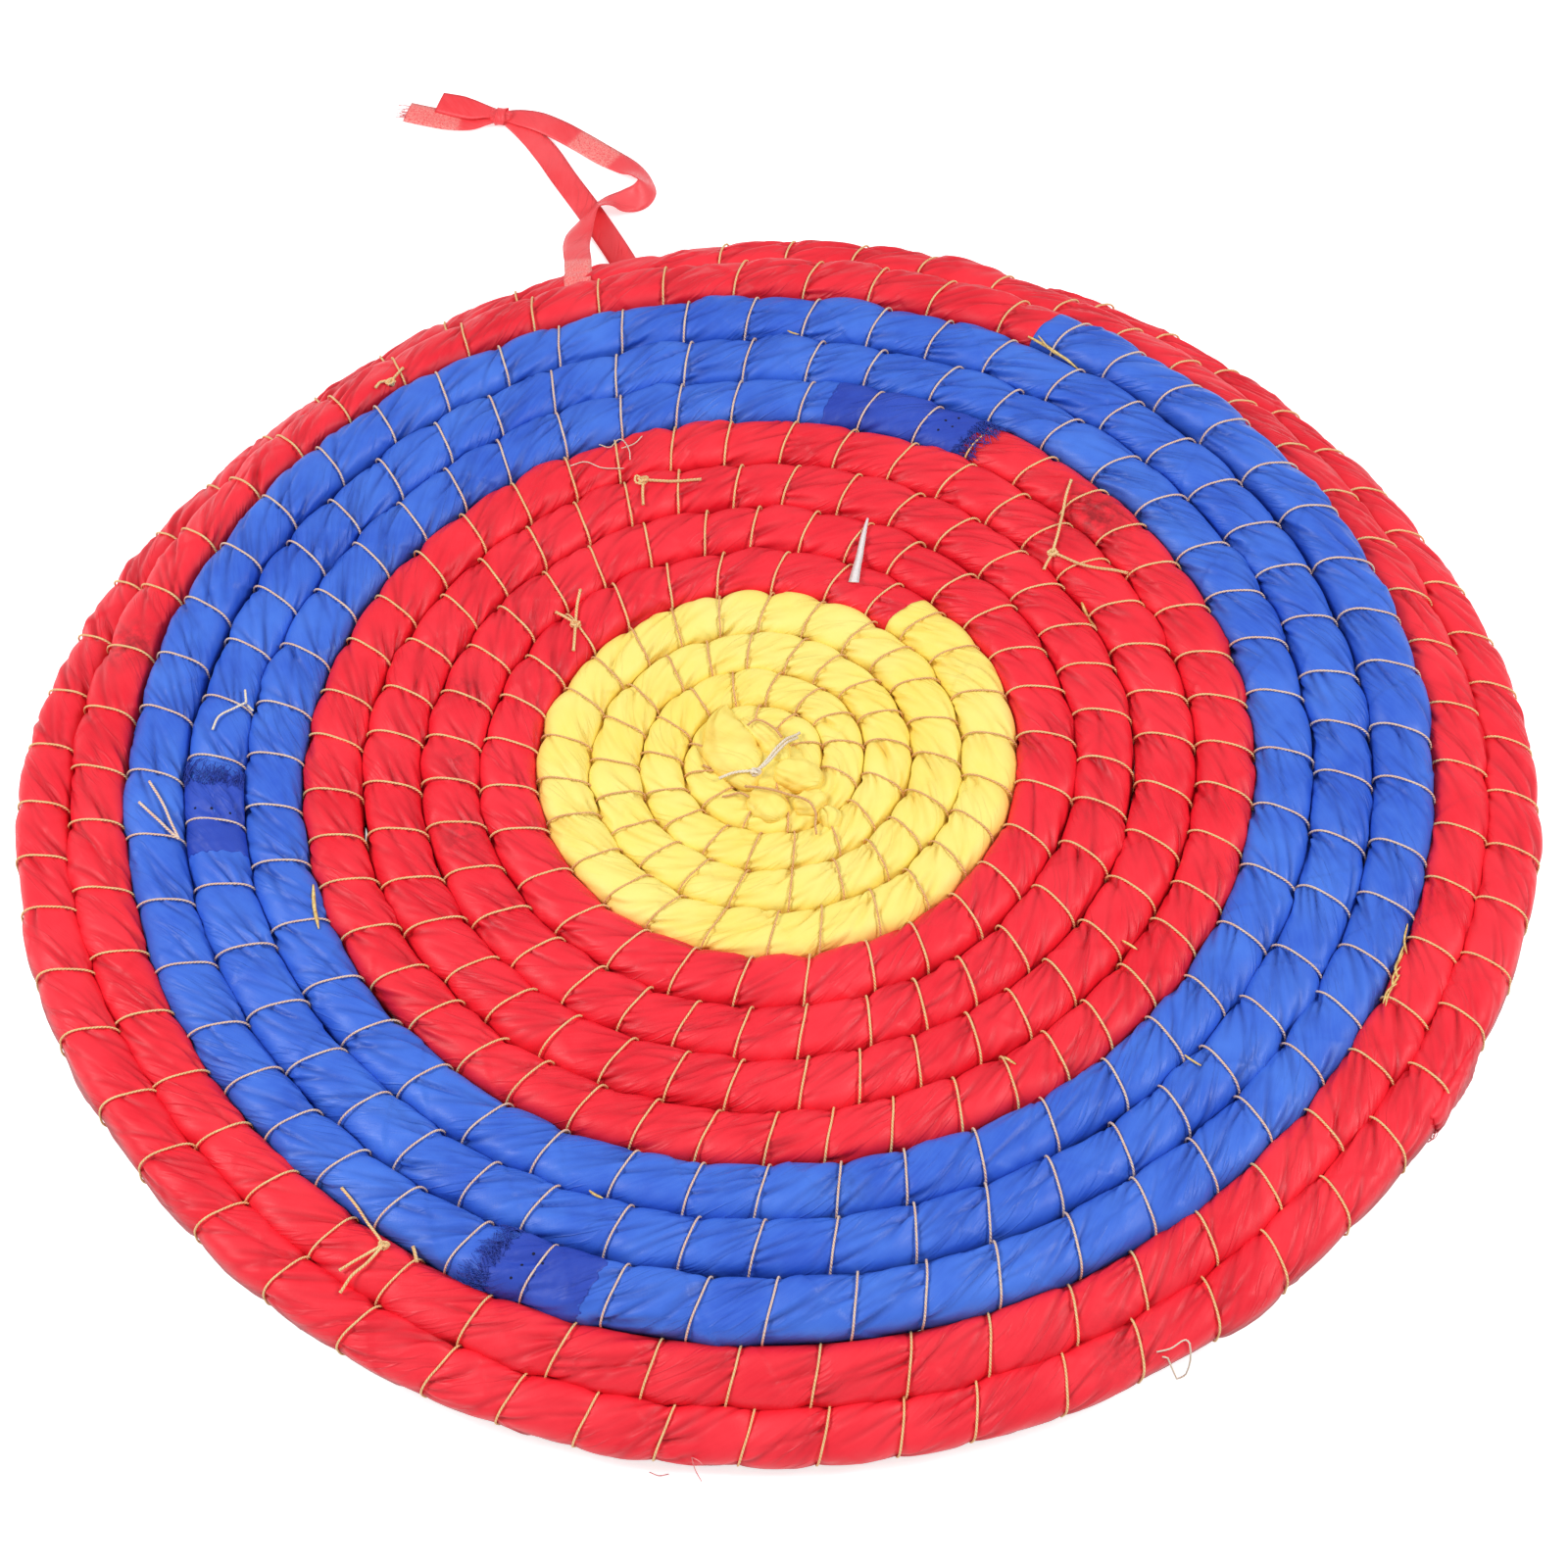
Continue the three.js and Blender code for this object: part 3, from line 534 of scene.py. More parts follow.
# Satin colours: a lighter tone, the base, the deep colour used as painted shade in grooves, creases and fold lines, a
# stain colour and the roughness; the ribbon's last colour is a painted highlight.
YELLOW = satin("yellow_satin", srgb(255, 240, 136), srgb(255, 231, 108), srgb(240, 184, 66), srgb(176, 132, 58), 0.5)
RED = satin("red_satin", srgb(255, 48, 64), srgb(238, 24, 46), srgb(112, 4, 16), srgb(96, 14, 20), 0.47)
BLUE = satin("blue_satin", srgb(72, 124, 232), srgb(46, 92, 208), srgb(8, 26, 104), srgb(20, 22, 60), 0.43)
DARK_BLUE = satin("dark_blue_satin", srgb(48, 82, 196), srgb(30, 56, 168), srgb(6, 14, 76), srgb(10, 12, 40), 0.5)
RIBBON = satin(
    "ribbon_satin", srgb(255, 92, 98), srgb(248, 62, 70), srgb(190, 40, 50), srgb(160, 40, 46), 0.38,
    srgb(255, 178, 168),
)
# Thread colours: a painted highlight colour for the plies' crowns and a painted shade colour for the grooves between
# them.
GOLD_THREAD = twisted("gold_thread", srgb(255, 226, 166), srgb(248, 162, 94))
PINK_THREAD = twisted("pink_thread", srgb(255, 230, 208), srgb(232, 160, 132))
ORANGE_THREAD = twisted("orange_thread", srgb(250, 196, 136), srgb(232, 158, 100))
PALE_THREAD = twisted("pale_thread", srgb(255, 244, 224), srgb(248, 216, 184))
STRAW = fibrous("dry_straw", srgb(206, 158, 80), srgb(255, 228, 150))
SLIVER = fibrous("clear_sliver", srgb(240, 230, 230), srgb(255, 250, 250), 0.3, 0.12)
BLUE_FIBRE = fibrous("blue_fibre", srgb(16, 34, 128), srgb(44, 78, 192), 0.6)
RED_FIBRE = fibrous("red_fibre", srgb(214, 90, 96), srgb(250, 160, 160), 0.6)
# Painted shade: the inside of a needle hole, as a dark navy.
HOLE_SHADE = fibrous("needle_hole_shade", srgb(6, 8, 30), srgb(12, 16, 56), 0.9)


# Stitches: where each one crosses the rope.
def stitch_spacing(turns):
    return np.interp(turns, [0.5, 3, 4.7, 4.9, 8.7, 8.9, 11.7, 12], [10.5, 14.5, 18, 18.8, 20, 23, 24.5, 25.5])


def stitch_places():
    places = []
    at = length_at(FIRST_STITCH_TURNS)
    while at < ROPE_LENGTH - LAST_STITCH_GAP:
        places.append(at)
        at += stitch_spacing(turns_at(at)) * rng.uniform(0.88, 1.12)
    return np.array(places)


STITCHES = stitch_places()
SLANTS = STITCH_SLANT * rng.uniform(0.8, 1.2, len(STITCHES))
PILLOWS = rng.uniform(-1, 1, (len(STITCHES) + 1, 3))
PULLS = np.random.default_rng(SEED + 1).uniform(0.6, 1.35, len(STITCHES))


def pinch(q):
    """How far the stitches draw the cloth in, as a share of the rope's size."""
    after = np.searchsorted(STITCHES, q)
    before_at = np.where(after > 0, STITCHES[np.maximum(after - 1, 0)], -1e3)
    after_at = np.where(after < len(STITCHES), STITCHES[np.minimum(after, len(STITCHES) - 1)], 1e5)
    before_pull, after_pull = PULLS[np.maximum(after - 1, 0)], PULLS[np.minimum(after, len(STITCHES) - 1)]
    before = before_pull * np.exp(-(((q - before_at) / PINCH_REACH) ** PINCH_POWER))
    return before + after_pull * np.exp(-(((after_at - q) / PINCH_REACH) ** PINCH_POWER))


def pillow(q):
    """A random value for each stretch between two stitches, and how far a place is from its ends, 0 to 1."""
    after = np.searchsorted(STITCHES, q)
    low = STITCHES[np.clip(after - 1, 0, len(STITCHES) - 1)]
    high = STITCHES[np.clip(after, 0, len(STITCHES) - 1)]
    share = np.clip((q - low) / np.maximum(high - low, 1), 0, 1)
    return PILLOWS[after], np.sin(math.pi * share) ** 0.6


# Folds of the cloth: creases between stitches, and long waves along the wound strip.
def fold_waves(count, least, most, lean, spread):
    """Random plane waves whose crests run about in one direction, given as an angle to the rope."""
    length = np.exp(rng.uniform(math.log(least), math.log(most), count))
    along = np.radians(rng.normal(lean, spread, count))
    number = TURN / length
    return -number * np.sin(along), number * np.cos(along), rng.uniform(0, TURN, count), length


def sum_waves(waves, q, t):
    kq, kt, phase, length = waves
    weight = length**0.5
    total = np.zeros_like(q)
    for k in range(len(kq)):
        total += weight[k] * np.cos(kq[k] * q + kt[k] * t + phase[k])
    return total / math.sqrt((weight**2).sum() / 2)


LONG_FOLDS = fold_waves(14, 12, 34, 34, 12)
FINE_FOLDS = fold_waves(20, 3.4, 8, 36, 16)
LUMPS = fold_waves(12, 14, 40, 0, 60)


def add_creases(q, t, relief, shade, size):
    """Sharp creases that start at the stitches' ends and fan out over the cloth between two stitches; their valleys
    also get painted shade.
    """
    edges = np.concatenate([[STITCHES[0] - 12], STITCHES, [STITCHES[-1] + 18]])
    for i in range(len(edges) - 1):
        low, high = edges[i], edges[i + 1]
        rows = np.nonzero((q[:, 0] > low - 1) & (q[:, 0] < high + 1))[0]
        if len(rows) == 0:
            continue
        rows = slice(rows[0], rows[-1] + 1)
        qq, tt = q[rows], t[rows]
        wide = size[rows].mean()
        gap = high - low
        for _ in range(rng.integers(5, 11)):
            from_high = rng.random() < 0.72
            start_q = high - 0.4 if from_high else low + 0.4
            start_t = wide * math.radians(rng.uniform(95, 170) if from_high else rng.uniform(10, 85))
            lean = math.radians(rng.normal(34, 13) if rng.random() < 0.7 else rng.uniform(8, 24))
            reach = gap * rng.uniform(0.5, 1.1)
            way = -1 if from_high else 1
            dq, dt = way * math.cos(lean), way * math.sin(lean)
            along = (qq - start_q) * dq + (tt - start_t) * dt
            aside = -(qq - start_q) * dt + (tt - start_t) * dq
            share = np.clip(along / reach, 0, 1)
            fade = np.where(along < 0, np.exp(-((along / 1.0) ** 2)), (1 - share) ** 0.8)
            width = rng.uniform(0.42, 0.75) * (1 + 1.1 * share)
            depth = rng.uniform(0.35, 1.3) * wide / FULL_HALF
            valley = np.exp(-((aside / width) ** 2))
            ridge = 0.4 * np.exp(-(((aside - 2 * width) / (1.6 * width)) ** 2))
            relief[rows] += depth * fade * (ridge - valley)
            # Painted shade in the valleys of the creases.
            shade[rows] = np.maximum(shade[rows], fade * valley * min(1, depth))


def strip_steps(q, t):
    """The edges of the wound strip: a low step that runs slantwise round the rope, and a lap at the rim."""
    x = (q + STRIP_LEAN * t) / STRIP_LEAD + 0.12 * np.sin(q / 31) + 0.05 * np.sin(q / 7.3 + t / 5)
    whole = np.floor(x)
    height = 0.25 + 0.35 * np.abs(np.sin(whole * 12.9898))
    before = length_at(LAP_TURNS) - q + 0.12 * t
    return height * (x - whole) ** 3 + LAP_HEIGHT * smooth(before / 0.9) * (1 - smooth((before - 3) / 24))


def around_places():
    top = np.linspace(*TOP_EDGES, TOP_SIDES)
    under = np.linspace(TOP_EDGES[1], TURN + TOP_EDGES[0], UNDER_SIDES)[1:-1]
    return np.concatenate([top, under])


AROUND = around_places()
AROUND_BACK = np.where(AROUND > math.radians(270), AROUND - TURN, AROUND)


def cloth_table():
    """Over the whole rope: how far the cloth stands out, how far it bulges sideways, and how much painted shade lies in
    its creases.
    """
    q = np.append(np.arange(0, ROPE_LENGTH, RING_STEP), ROPE_LENGTH)
    qq, around = np.meshgrid(q, AROUND, indexing="ij")
    half = rope_at(qq)[3]
    arc = AROUND_BACK[None] * half
    scale = half / FULL_HALF
    kind, middle = pillow(qq)
    drawn = 0.15 + 0.85 * smooth((np.abs(np.sin(around)) - 0.1) / 0.35)
    relief = -pinch(qq) * drawn * (0.6 + 0.85 * np.abs(np.cos(around))) * scale
    relief += middle * (0.45 + 0.75 * kind[..., 2]) * np.clip(np.cos(around), 0, 1) ** 1.5 * scale
    relief += middle * (0.25 + 0.55 * kind[..., 0] + 0.5 * kind[..., 1] * np.cos(around)) * scale
    folds = sum_waves(LONG_FOLDS, qq, arc)
    relief += 0.09 * scale * (folds - 0.8 * np.abs(folds))
    relief += 0.03 * scale * sum_waves(FINE_FOLDS, qq, arc)
    relief += 0.2 * scale * sum_waves(LUMPS, qq, arc)
    relief += strip_steps(qq, arc) * scale
    shade = np.zeros_like(relief)
    add_creases(qq, arc, relief, shade, half)
    relief = np.maximum(relief, -DEEPEST - SOFT_DEPTH * np.tanh(np.maximum(-DEEPEST - relief, 0) / SOFT_DEPTH))
    bulge = middle * (1.3 + 1.1 * kind[..., 2]) * scale
    return q, np.stack([relief, bulge, shade], -1)


CLOTH_Q, CLOTH = cloth_table()


def cloth_rows(q, columns):
    """The cloth's table at lengths along the rope, in the columns given."""
    i = np.clip(np.searchsorted(CLOTH_Q, q) - 1, 0, len(CLOTH_Q) - 2)
    share = np.clip((q - CLOTH_Q[i]) / (CLOTH_Q[i + 1] - CLOTH_Q[i]), 0, 1)[..., None]
    return CLOTH[i, columns] * (1 - share) + CLOTH[i + 1, columns] * share


def skin_points(q):
    """Points of the cloth's skin, and each point's place on the cloth and how much painted shade its creases give it.
    """
    q, around = np.meshgrid(q, AROUND, indexing="ij")
    table = cloth_rows(q, np.arange(len(AROUND))[None])
    points = on_rope(q, around, table[..., 0], table[..., 1])
    return points, np.stack([q, AROUND_BACK[None] * rope_at(q)[3], 0 * q], -1), table[..., 2]


BACK_ORDER = np.argsort(AROUND_BACK)


def table_at(q, around):
    """The cloth's table at lengths along the rope and directions round it."""
    place = np.interp(around, AROUND_BACK[BACK_ORDER], np.arange(len(AROUND)))
    low = np.clip(np.floor(place).astype(int), 0, len(AROUND) - 2)
    aside = (place - low)[..., None]
    return cloth_rows(q, BACK_ORDER[low]) * (1 - aside) + cloth_rows(q, BACK_ORDER[low + 1]) * aside


def on_skin(q, around, lift):
    """Points on the cloth's skin at lengths along the rope and directions round it, raised by lift."""
    q, around, lift = np.broadcast_arrays(np.asarray(q, float), np.asarray(around, float), np.asarray(lift, float))
    table = table_at(q, around)
    return on_rope(q, around, table[..., 0] + lift, table[..., 1] + np.maximum(lift, 0))


# The covers.
def dirt_at(points):
    dirt = np.zeros(points.shape[:-1])
    for x, y, size, strength in DIRT:
        off = np.linalg.norm(points[..., :2] - np.array([x, y]), axis=-1)
        dirt = np.maximum(dirt, strength * np.exp(-((off / size) ** 2)))
    return dirt


def groove_shade_at(around):
    """How far down between two turns a direction round the rope lies, 0 to 1: the share of painted shade the grooves
    get there.
    """
    return np.clip(1 - np.sin(np.clip(around, 0, math.pi)) * 1.45, 0, 1)


# The cloth's marks: painted shade low in the grooves, the stains, and the painted shade in the creases.
def groove_shade_marks(points, shade):
    low = np.broadcast_to(groove_shade_at(AROUND)[None], shade.shape)
    return np.stack([0.8 * low**1.4, dirt_at(points), shade], -1)


SKIN_MESHES = []


def cover(name, start, end, material, slot, node):
    q = np.append(np.arange(start, end - RING_STEP / 2, RING_STEP), end)
    points, cloth, shade = skin_points(q)
    marks = groove_shade_marks(points, shade)
    columns = len(AROUND)
    faces = grid_faces(len(q), columns, True)
    flat = np.concatenate([points.reshape(-1, 3), [points[0].mean(0), points[-1].mean(0)]])
    last = (len(q) - 1) * columns
    for k in range(columns):
        faces.append([(k + 1) % columns, k, len(flat) - 2])
        faces.append([last + k, last + (k + 1) % columns, len(flat) - 1])
    cloth = cloth.reshape(-1, 3)
    cloth = np.concatenate([cloth, cloth[:1], cloth[-1:]])
    marks = np.concatenate([marks.reshape(-1, 3), np.zeros((2, 3))])
    SKIN_MESHES.append((flat, faces))
    return new_piece(name, flat, faces, material, slot, replaces=(node,), facts={"cloth": cloth, "marks": marks})


STRIPS = (
    ("yellow_cloth", 0, YELLOW_TURNS, YELLOW, "yellow", "yellow_cover"),
    ("inner_red_cloth", YELLOW_TURNS, BLUE_START, RED, "red", "inner_red_cover"),
    ("blue_cloth_1", BLUE_START, BLUE_START + BLUE_JOINTS[0], BLUE, "blue", "blue_cover_1"),
    ("blue_cloth_2", BLUE_START + BLUE_JOINTS[0], BLUE_START + BLUE_JOINTS[1], BLUE, "blue", "blue_cover_2"),
    ("blue_cloth_3", BLUE_START + BLUE_JOINTS[1], BLUE_END, BLUE, "blue", "blue_cover_3"),
    ("outer_red_cloth", BLUE_END, TOTAL_TURNS, RED, "red", "outer_red_cover"),
)
for strip_name, first_turn, last_turn, cloth_material, cloth_slot, cover_node in STRIPS:
    cover(strip_name, length_at(first_turn), length_at(last_turn), cloth_material, cloth_slot, cover_node)


# The straw inside the cloth, as one long core.
def straw_rope():
    q = np.linspace(CORE_START, ROPE_LENGTH - CORE_SHORT, CORE_RINGS)
    q, turned = np.meshgrid(q, TURN * np.arange(CORE_SIDES) / CORE_SIDES, indexing="ij")
    centre, across, up, half = rope_at(q)
    share = end_share(q)
    size = half * share - CORE_INSET
    aside = size * np.cos(turned) + (share - 1) * half
    points = (centre + across * aside[..., None] + up * (size * np.sin(turned))[..., None]).reshape(-1, 3)
    faces = ring_faces(CORE_RINGS, CORE_SIDES)
    return new_piece("straw_rope", points, faces, STRAW, "straw", replaces=("straw_core",))


straw_rope()


# The start of the rope: a folded bundle and the small lumps of cloth that the first stitches pull in.
def lump(places, widths, top, deep):
    """A closed soft body along places seen from above; top is its highest point and deep how far down it goes."""
    line = curve_through(np.column_stack([places, np.zeros(len(places))]), LUMP_ROWS)
    run = np.linspace(0, 1, LUMP_ROWS)
    wide = smoothed(np.interp(run, np.linspace(0, 1, len(widths)), widths), np.ones(5))
    round_end = np.sqrt(np.clip(1 - (2 * run - 1) ** 8, 0.02, 1))
    side = np.cross(unit(np.gradient(line, axis=0)), [0, 0, 1.0])
    turned = TURN * np.arange(LUMP_SIDES) / LUMP_SIDES
    cos, sin = np.cos(turned), np.sin(turned)
    square = (np.abs(cos) ** LUMP_SQUARENESS + np.abs(sin) ** LUMP_SQUARENESS) ** (-1 / LUMP_SQUARENESS)
    phase = rng.uniform(0, TURN, 4)
    length = run_along(line)[-1]
    run = run[:, None]
    fold = np.sin((run * length * 0.42 + cos * 2.2) + phase[0])
    fine = np.sin((run * length * 1.1 - cos * 5.0) + phase[1])
    relief = 0.2 * (fold - np.abs(fold)) + 0.08 * (fine - np.abs(fine))
    for at in rng.uniform(-0.75, 0.75, 3):
        pleat = np.exp(-(((cos - at - 0.25 * run * at) / 0.07) ** 2)) * (sin > 0)
        relief = relief - 0.75 * pleat * (1 - 0.75 * run)
    size = (wide / 2 * round_end)[:, None]
    rise = np.where(sin > 0, 1.0, 0.4)
    height = deep * np.minimum(1, (size / (wide.max() / 2)) ** 0.6)
    points = (
        line[:, None]
        + side[:, None] * ((size + relief) * (square * cos))[..., None]
        + np.array([0, 0, 1.0]) * ((height + relief) * (square * sin * rise) + top - deep)[..., None]
    )
    cloth = np.stack(np.broadcast_arrays(run * length, turned * wide.mean() / 2, 0.0), -1)
    # Painted shade: low on the lumps' sides, as in the grooves between turns, and in the valleys of the pleats.
    low = np.clip(1 - 1.25 * np.clip(sin, 0, 1), 0, 1)
    marks = np.stack(np.broadcast_arrays(0.8 * low**1.6, 0.0, np.clip(-relief, 0, 1)), -1)
    return points.reshape(-1, 3), ring_faces(LUMP_ROWS, LUMP_SIDES), cloth.reshape(-1, 3), marks.reshape(-1, 3)


def lumps_piece(name, lumps, material, slot):
    points, faces, cloth, marks = joined([lump(*form) for form in lumps])
    SKIN_MESHES.append((points, faces))
    return new_piece(name, points, faces, material, slot, facts={"cloth": cloth, "marks": marks})


lumps_piece("centre_bundle", (
    (((-14.0, 2.0), (-4.0, 0.0), (8.0, -6.0)), (18, 24, 18), 35.6, 6.0),
    (((-16.5, 24.0), (-17.0, 14.0), (-14.5, 4.0), (-10.5, -4.5), (-8.0, -11.5)), (3, 13, 19.5, 17, 7), 38.9, 6.0),
    (((-11.0, 17.5), (-5.0, 11.0), (0.5, 4.5), (3.5, -2.0)), (4, 8.0, 9.5, 7), 38.0, 5.0),
    (((0.0, -3.5), (7.5, -6.5), (15.0, -10.5)), (10, 13.5, 9), 38.1, 5.0),
    (((5.5, -19.5), (10.8, -18.0), (15.5, -14.5)), (7, 10.5, 6.5), 37.8, 5.0),
    (((-9.0, -14.5), (-3.0, -18.0), (1.0, -24.5)), (9, 14.5, 9), 37.9, 5.0),
    (((15.5, -20.5), (17.5, -24.5), (17.0, -28.5)), (6, 8.5, 5), 37.4, 5.0),
), YELLOW, "yellow")


# The skin's height under a place, for whatever lies on it.
skin_vertices, skin_faces = joined(SKIN_MESHES)
SKIN = BVHTree.FromPolygons(skin_vertices.tolist(), skin_faces)


def skin_height(x, y):
    hit = SKIN.ray_cast(Vector((float(x), float(y), 80.0)), Vector((0, 0, -1)))
    return hit[0].z if hit[0] is not None else 0.0


def laid(places, lift):
    """A path over the skin through places seen from above; lift, above the skin, is one height or one for each."""
    places = np.asarray(places, float)
    heights = np.broadcast_to(np.asarray(lift, float), len(places))
    count = max(4, int(run_along(places)[-1] / LAID_STEP))
    line = curve_through(np.column_stack([places, heights]), count)
    floor = np.array([skin_height(x, y) for x, y in line[:, :2]])
    taut = smoothed(highest_near(floor, LAID_REACH), np.ones(2 * LAID_REACH + 1))
    z = np.maximum(taut, floor) + line[:, 2]
    return np.column_stack([line[:, :2], np.maximum(z, 0.6)])


# The stitches: each is a loop of thread round one turn.
def drawn_tight(heights, reach):
    """Heights of a thread that spans the small hollows under it."""
    return smoothed(highest_near(heights, reach), np.hanning(2 * reach + 3)[1:-1])


def stitch_path(place, slant):
    around = np.linspace(math.radians(STITCH_FROM), math.radians(STITCH_TO), STITCH_POINTS)
    scale = rope_at(np.full(len(around), place))[3] / FULL_HALF
    q = place + (STITCH_SLANT - slant) / 2 * np.cos(around) * scale
    nearby = [table_at(q + aside, around) for aside in (-0.5, 0, 0.5)]
    relief = drawn_tight(np.max([t[..., 0] for t in nearby], 0), STITCH_TAUT)
    bulge = np.max([t[..., 1] for t in nearby], 0)
    return on_rope(q, around, relief + THREAD_LIFT, bulge + THREAD_LIFT)


RIBBON_TURNS = TOTAL_TURNS - ((START_ANGLE + TURN * TOTAL_TURNS - RIBBON_DIRECTION) % TURN) / TURN
RIBBON_AT = length_at(RIBBON_TURNS)


def stitches_piece(name, first_turn, last_turn, material, radius=THREAD_RADIUS):
    low, high = length_at(first_turn), length_at(last_turn)
    bare = np.abs(STITCHES - RIBBON_AT) > RIBBON_SHIFT + WRAP_MARGIN
    chosen = np.nonzero((STITCHES >= low) & (STITCHES < high) & bare)[0]
    paths = [stitch_path(STITCHES[k], SLANTS[k]) for k in chosen]
    return tubes_piece(name, paths, radius, material, "thread")


stitches_piece("stitches_yellow", 0, YELLOW_TURNS, ORANGE_THREAD, 0.33)
stitches_piece("stitches_inner_red", YELLOW_TURNS, BLUE_START, GOLD_THREAD)
stitches_piece("stitches_blue", BLUE_START, BLUE_END, PINK_THREAD)
stitches_piece("stitches_outer_red", BLUE_END, TOTAL_TURNS, GOLD_THREAD)


# Knots and loose threads. Places are seen from above, in millimetres.
def tangle(centre, size, loops=2):
    """The turns of thread that make up a small tight knot."""
    x, y = centre
    height = skin_height(x, y) + 0.75 * size
    phase = rng.uniform(0, TURN)
    t = np.linspace(0, TURN * loops, 18 * loops)
    wobble = 0.35 * np.sin(2.5 * t + phase)
    return np.column_stack([
        x + size * (np.cos(t + phase) + wobble * 0.6),
        y + size * (0.7 * np.sin(t + phase) + wobble * 0.4),
        height + 0.55 * size * np.sin(1.5 * t + phase),
    ])


def knot_piece(name, centre, tails, material, node, radius=0.5, size=1.35, extra=()):
    paths = [tangle(centre, size), tangle(centre, size * 0.75)]
    radii = [radius, radius]
    for places, lift in tails:
        paths.append(laid([centre, *places], lift))
        radii.append(radius * np.interp(np.linspace(0, 1, len(paths[-1])), [0, 0.96, 1], [1, 1, 1.25]))
    for places, lift, thin in extra:
        paths.append(laid(places, lift))
        radii.append(thin)
    return tubes_piece(name, paths, radii, material, "thread", replaces=(node,) if node else ())


KNOTS = (
    (
        "knot_1", (-6.5, -7.0), PALE_THREAD, "thread_knot_1",
        (
            (((-1.6, -1.2), (3.2, 4.4), (8.2, 10.4)), (1.0, 1.4, 1.6, 1.0)),
            (((-1.0, -1.8), (3.9, 3.6), (7.4, 8.4)), (1.0, 1.2, 1.4, 1.0)),
            (((-12.6, -7.4), (-18.6, -8.4)), 0.9),
        ),
        (),
    ),
    (
        "knot_2", (-133.1, 171.6), GOLD_THREAD, "thread_knot_2",
        ((((-136.6, 171.1), (-138.2, 168.6)), 0.9), (((-130.1, 176.6), (-128.9, 178.4)), 0.9)),
        (),
    ),
    (
        "knot_3", (-43.4, 118.6), GOLD_THREAD, "thread_knot_3",
        ((((-33.4, 118.1), (-23.3, 118.9)), 0.8), (((-43.6, 113.0), (-43.4, 108.1)), 0.7)),
        (((((-43.4, 118.6), (-45.8, 120.6), (-46.0, 117.6), (-43.2, 116.4)), 1.1, 0.42)),),
    ),
    (
        "knot_4", (96.2, 82.5), GOLD_THREAD, "thread_knot_4",
        (
            (((98.6, 90.5), (100.1, 97.4), (102.2, 107.0), (104.5, 114.5)), (0.8, 1.2, 1.2, 1.6, 0.9)),
            (((108.5, 76.0), (121.4, 73.7)), 0.9),
            (((94.0, 78.6), (92.9, 76.1)), 0.7),
        ),
        (),
    ),
    (
        "knot_5", (-123.3, -181.0), GOLD_THREAD, "thread_knot_5",
        (
            (((-127.2, -174.9), (-130.2, -170.4), (-136.8, -161.3)), (1.0, 1.5, 1.7, 1.0)),
            (((-128.3, -187.1), (-133.0, -190.9), (-136.5, -195.3)), (1.0, 1.0, 1.3, 1.0)),
            (((-130.5, -185.5), (-136.8, -188.8)), (1.0, 1.2, 1.1)),
        ),
        ((((-114.5, -180.9), (-114.1, -182.2), (-113.2, -186.0)), 1.0, 0.62),),
    ),
    (
        "knot_6", (-66.4, 57.5), GOLD_THREAD, "thread_knot_6",
        (
            (((-65.9, 65.5), (-64.9, 72.3)), (0.8, 1.3, 1.0)),
            (((-66.7, 51.0), (-67.0, 46.0)), 0.8),
            (((-70.2, 60.9), (-73.2, 63.4)), 0.8),
        ),
        (),
    ),
)
for knot_name, knot_centre, knot_material, knot_node, knot_tails, knot_extra in KNOTS:
    knot_piece(knot_name, knot_centre, knot_tails, knot_material, knot_node, extra=knot_extra)

THREAD_ENDS = (
    ("thread_ends_left", PINK_THREAD, 0.5, (
        (((-195.2, -27.4), (-198.2, -21.4), (-200.7, -15.4), (-206.1, -5.5)), (0.6, 0.9, 1.3, 1.0)),
        (((-195.2, -27.4), (-199.6, -23.8), (-202.5, -20.8), (-209.0, -13.5)), (0.6, 0.8, 1.0, 0.9)),
    )),
    ("thread_end_mid_left", PALE_THREAD, 0.42, (
        (((-176.1, 27.4), (-179.5, 24.5), (-184.8, 20.6), (-186.6, 15.5)), (0.7, 1.0, 1.2, 0.8)),
        (((-176.1, 27.4), (-176.6, 31.8)), (0.8, 1.8)),
        (((-176.1, 27.4), (-173.8, 24.2)), (0.8, 1.6)),
    )),
    ("thread_loop_front", PALE_THREAD, 0.28, (
        (((110.9, -219.6), (115.1, -218.9), (120.4, -216.5), (121.6, -218.9), (117.5, -221.0), (112.6, -220.6)), 0.6),
    )),
    ("fine_threads", PALE_THREAD, 0.2, (
        (((-58.8, 137.7), (-55.1, 135.7), (-52.1, 138.4), (-48.2, 132.7), (-48.0, 128.9)), 0.7),
        (((-68.8, 126.8), (-64.0, 128.2), (-57.6, 125.0), (-50.1, 125.8)), 0.7),
        (((-51.0, 133.9), (-46.6, 136.2), (-43.8, 139.8)), 0.6),
    )),
    ("red_frays", RED_FIBRE, 0.16, (
        (((-43.5, -243.3), (-40.5, -244.6), (-37.6, -244.1)), 0.5),
        (((-30.3, -244.3), (-29.4, -246.6), (-27.6, -248.4)), 0.5),
        (((-30.3, -244.3), (-27.8, -245.8), (-26.9, -247.0)), 0.5),
    )),
)
for ends_name, ends_material, ends_radius, ends in THREAD_ENDS:
    tubes_piece(ends_name, [laid(places, lift) for places, lift in ends], ends_radius, ends_material, "thread")


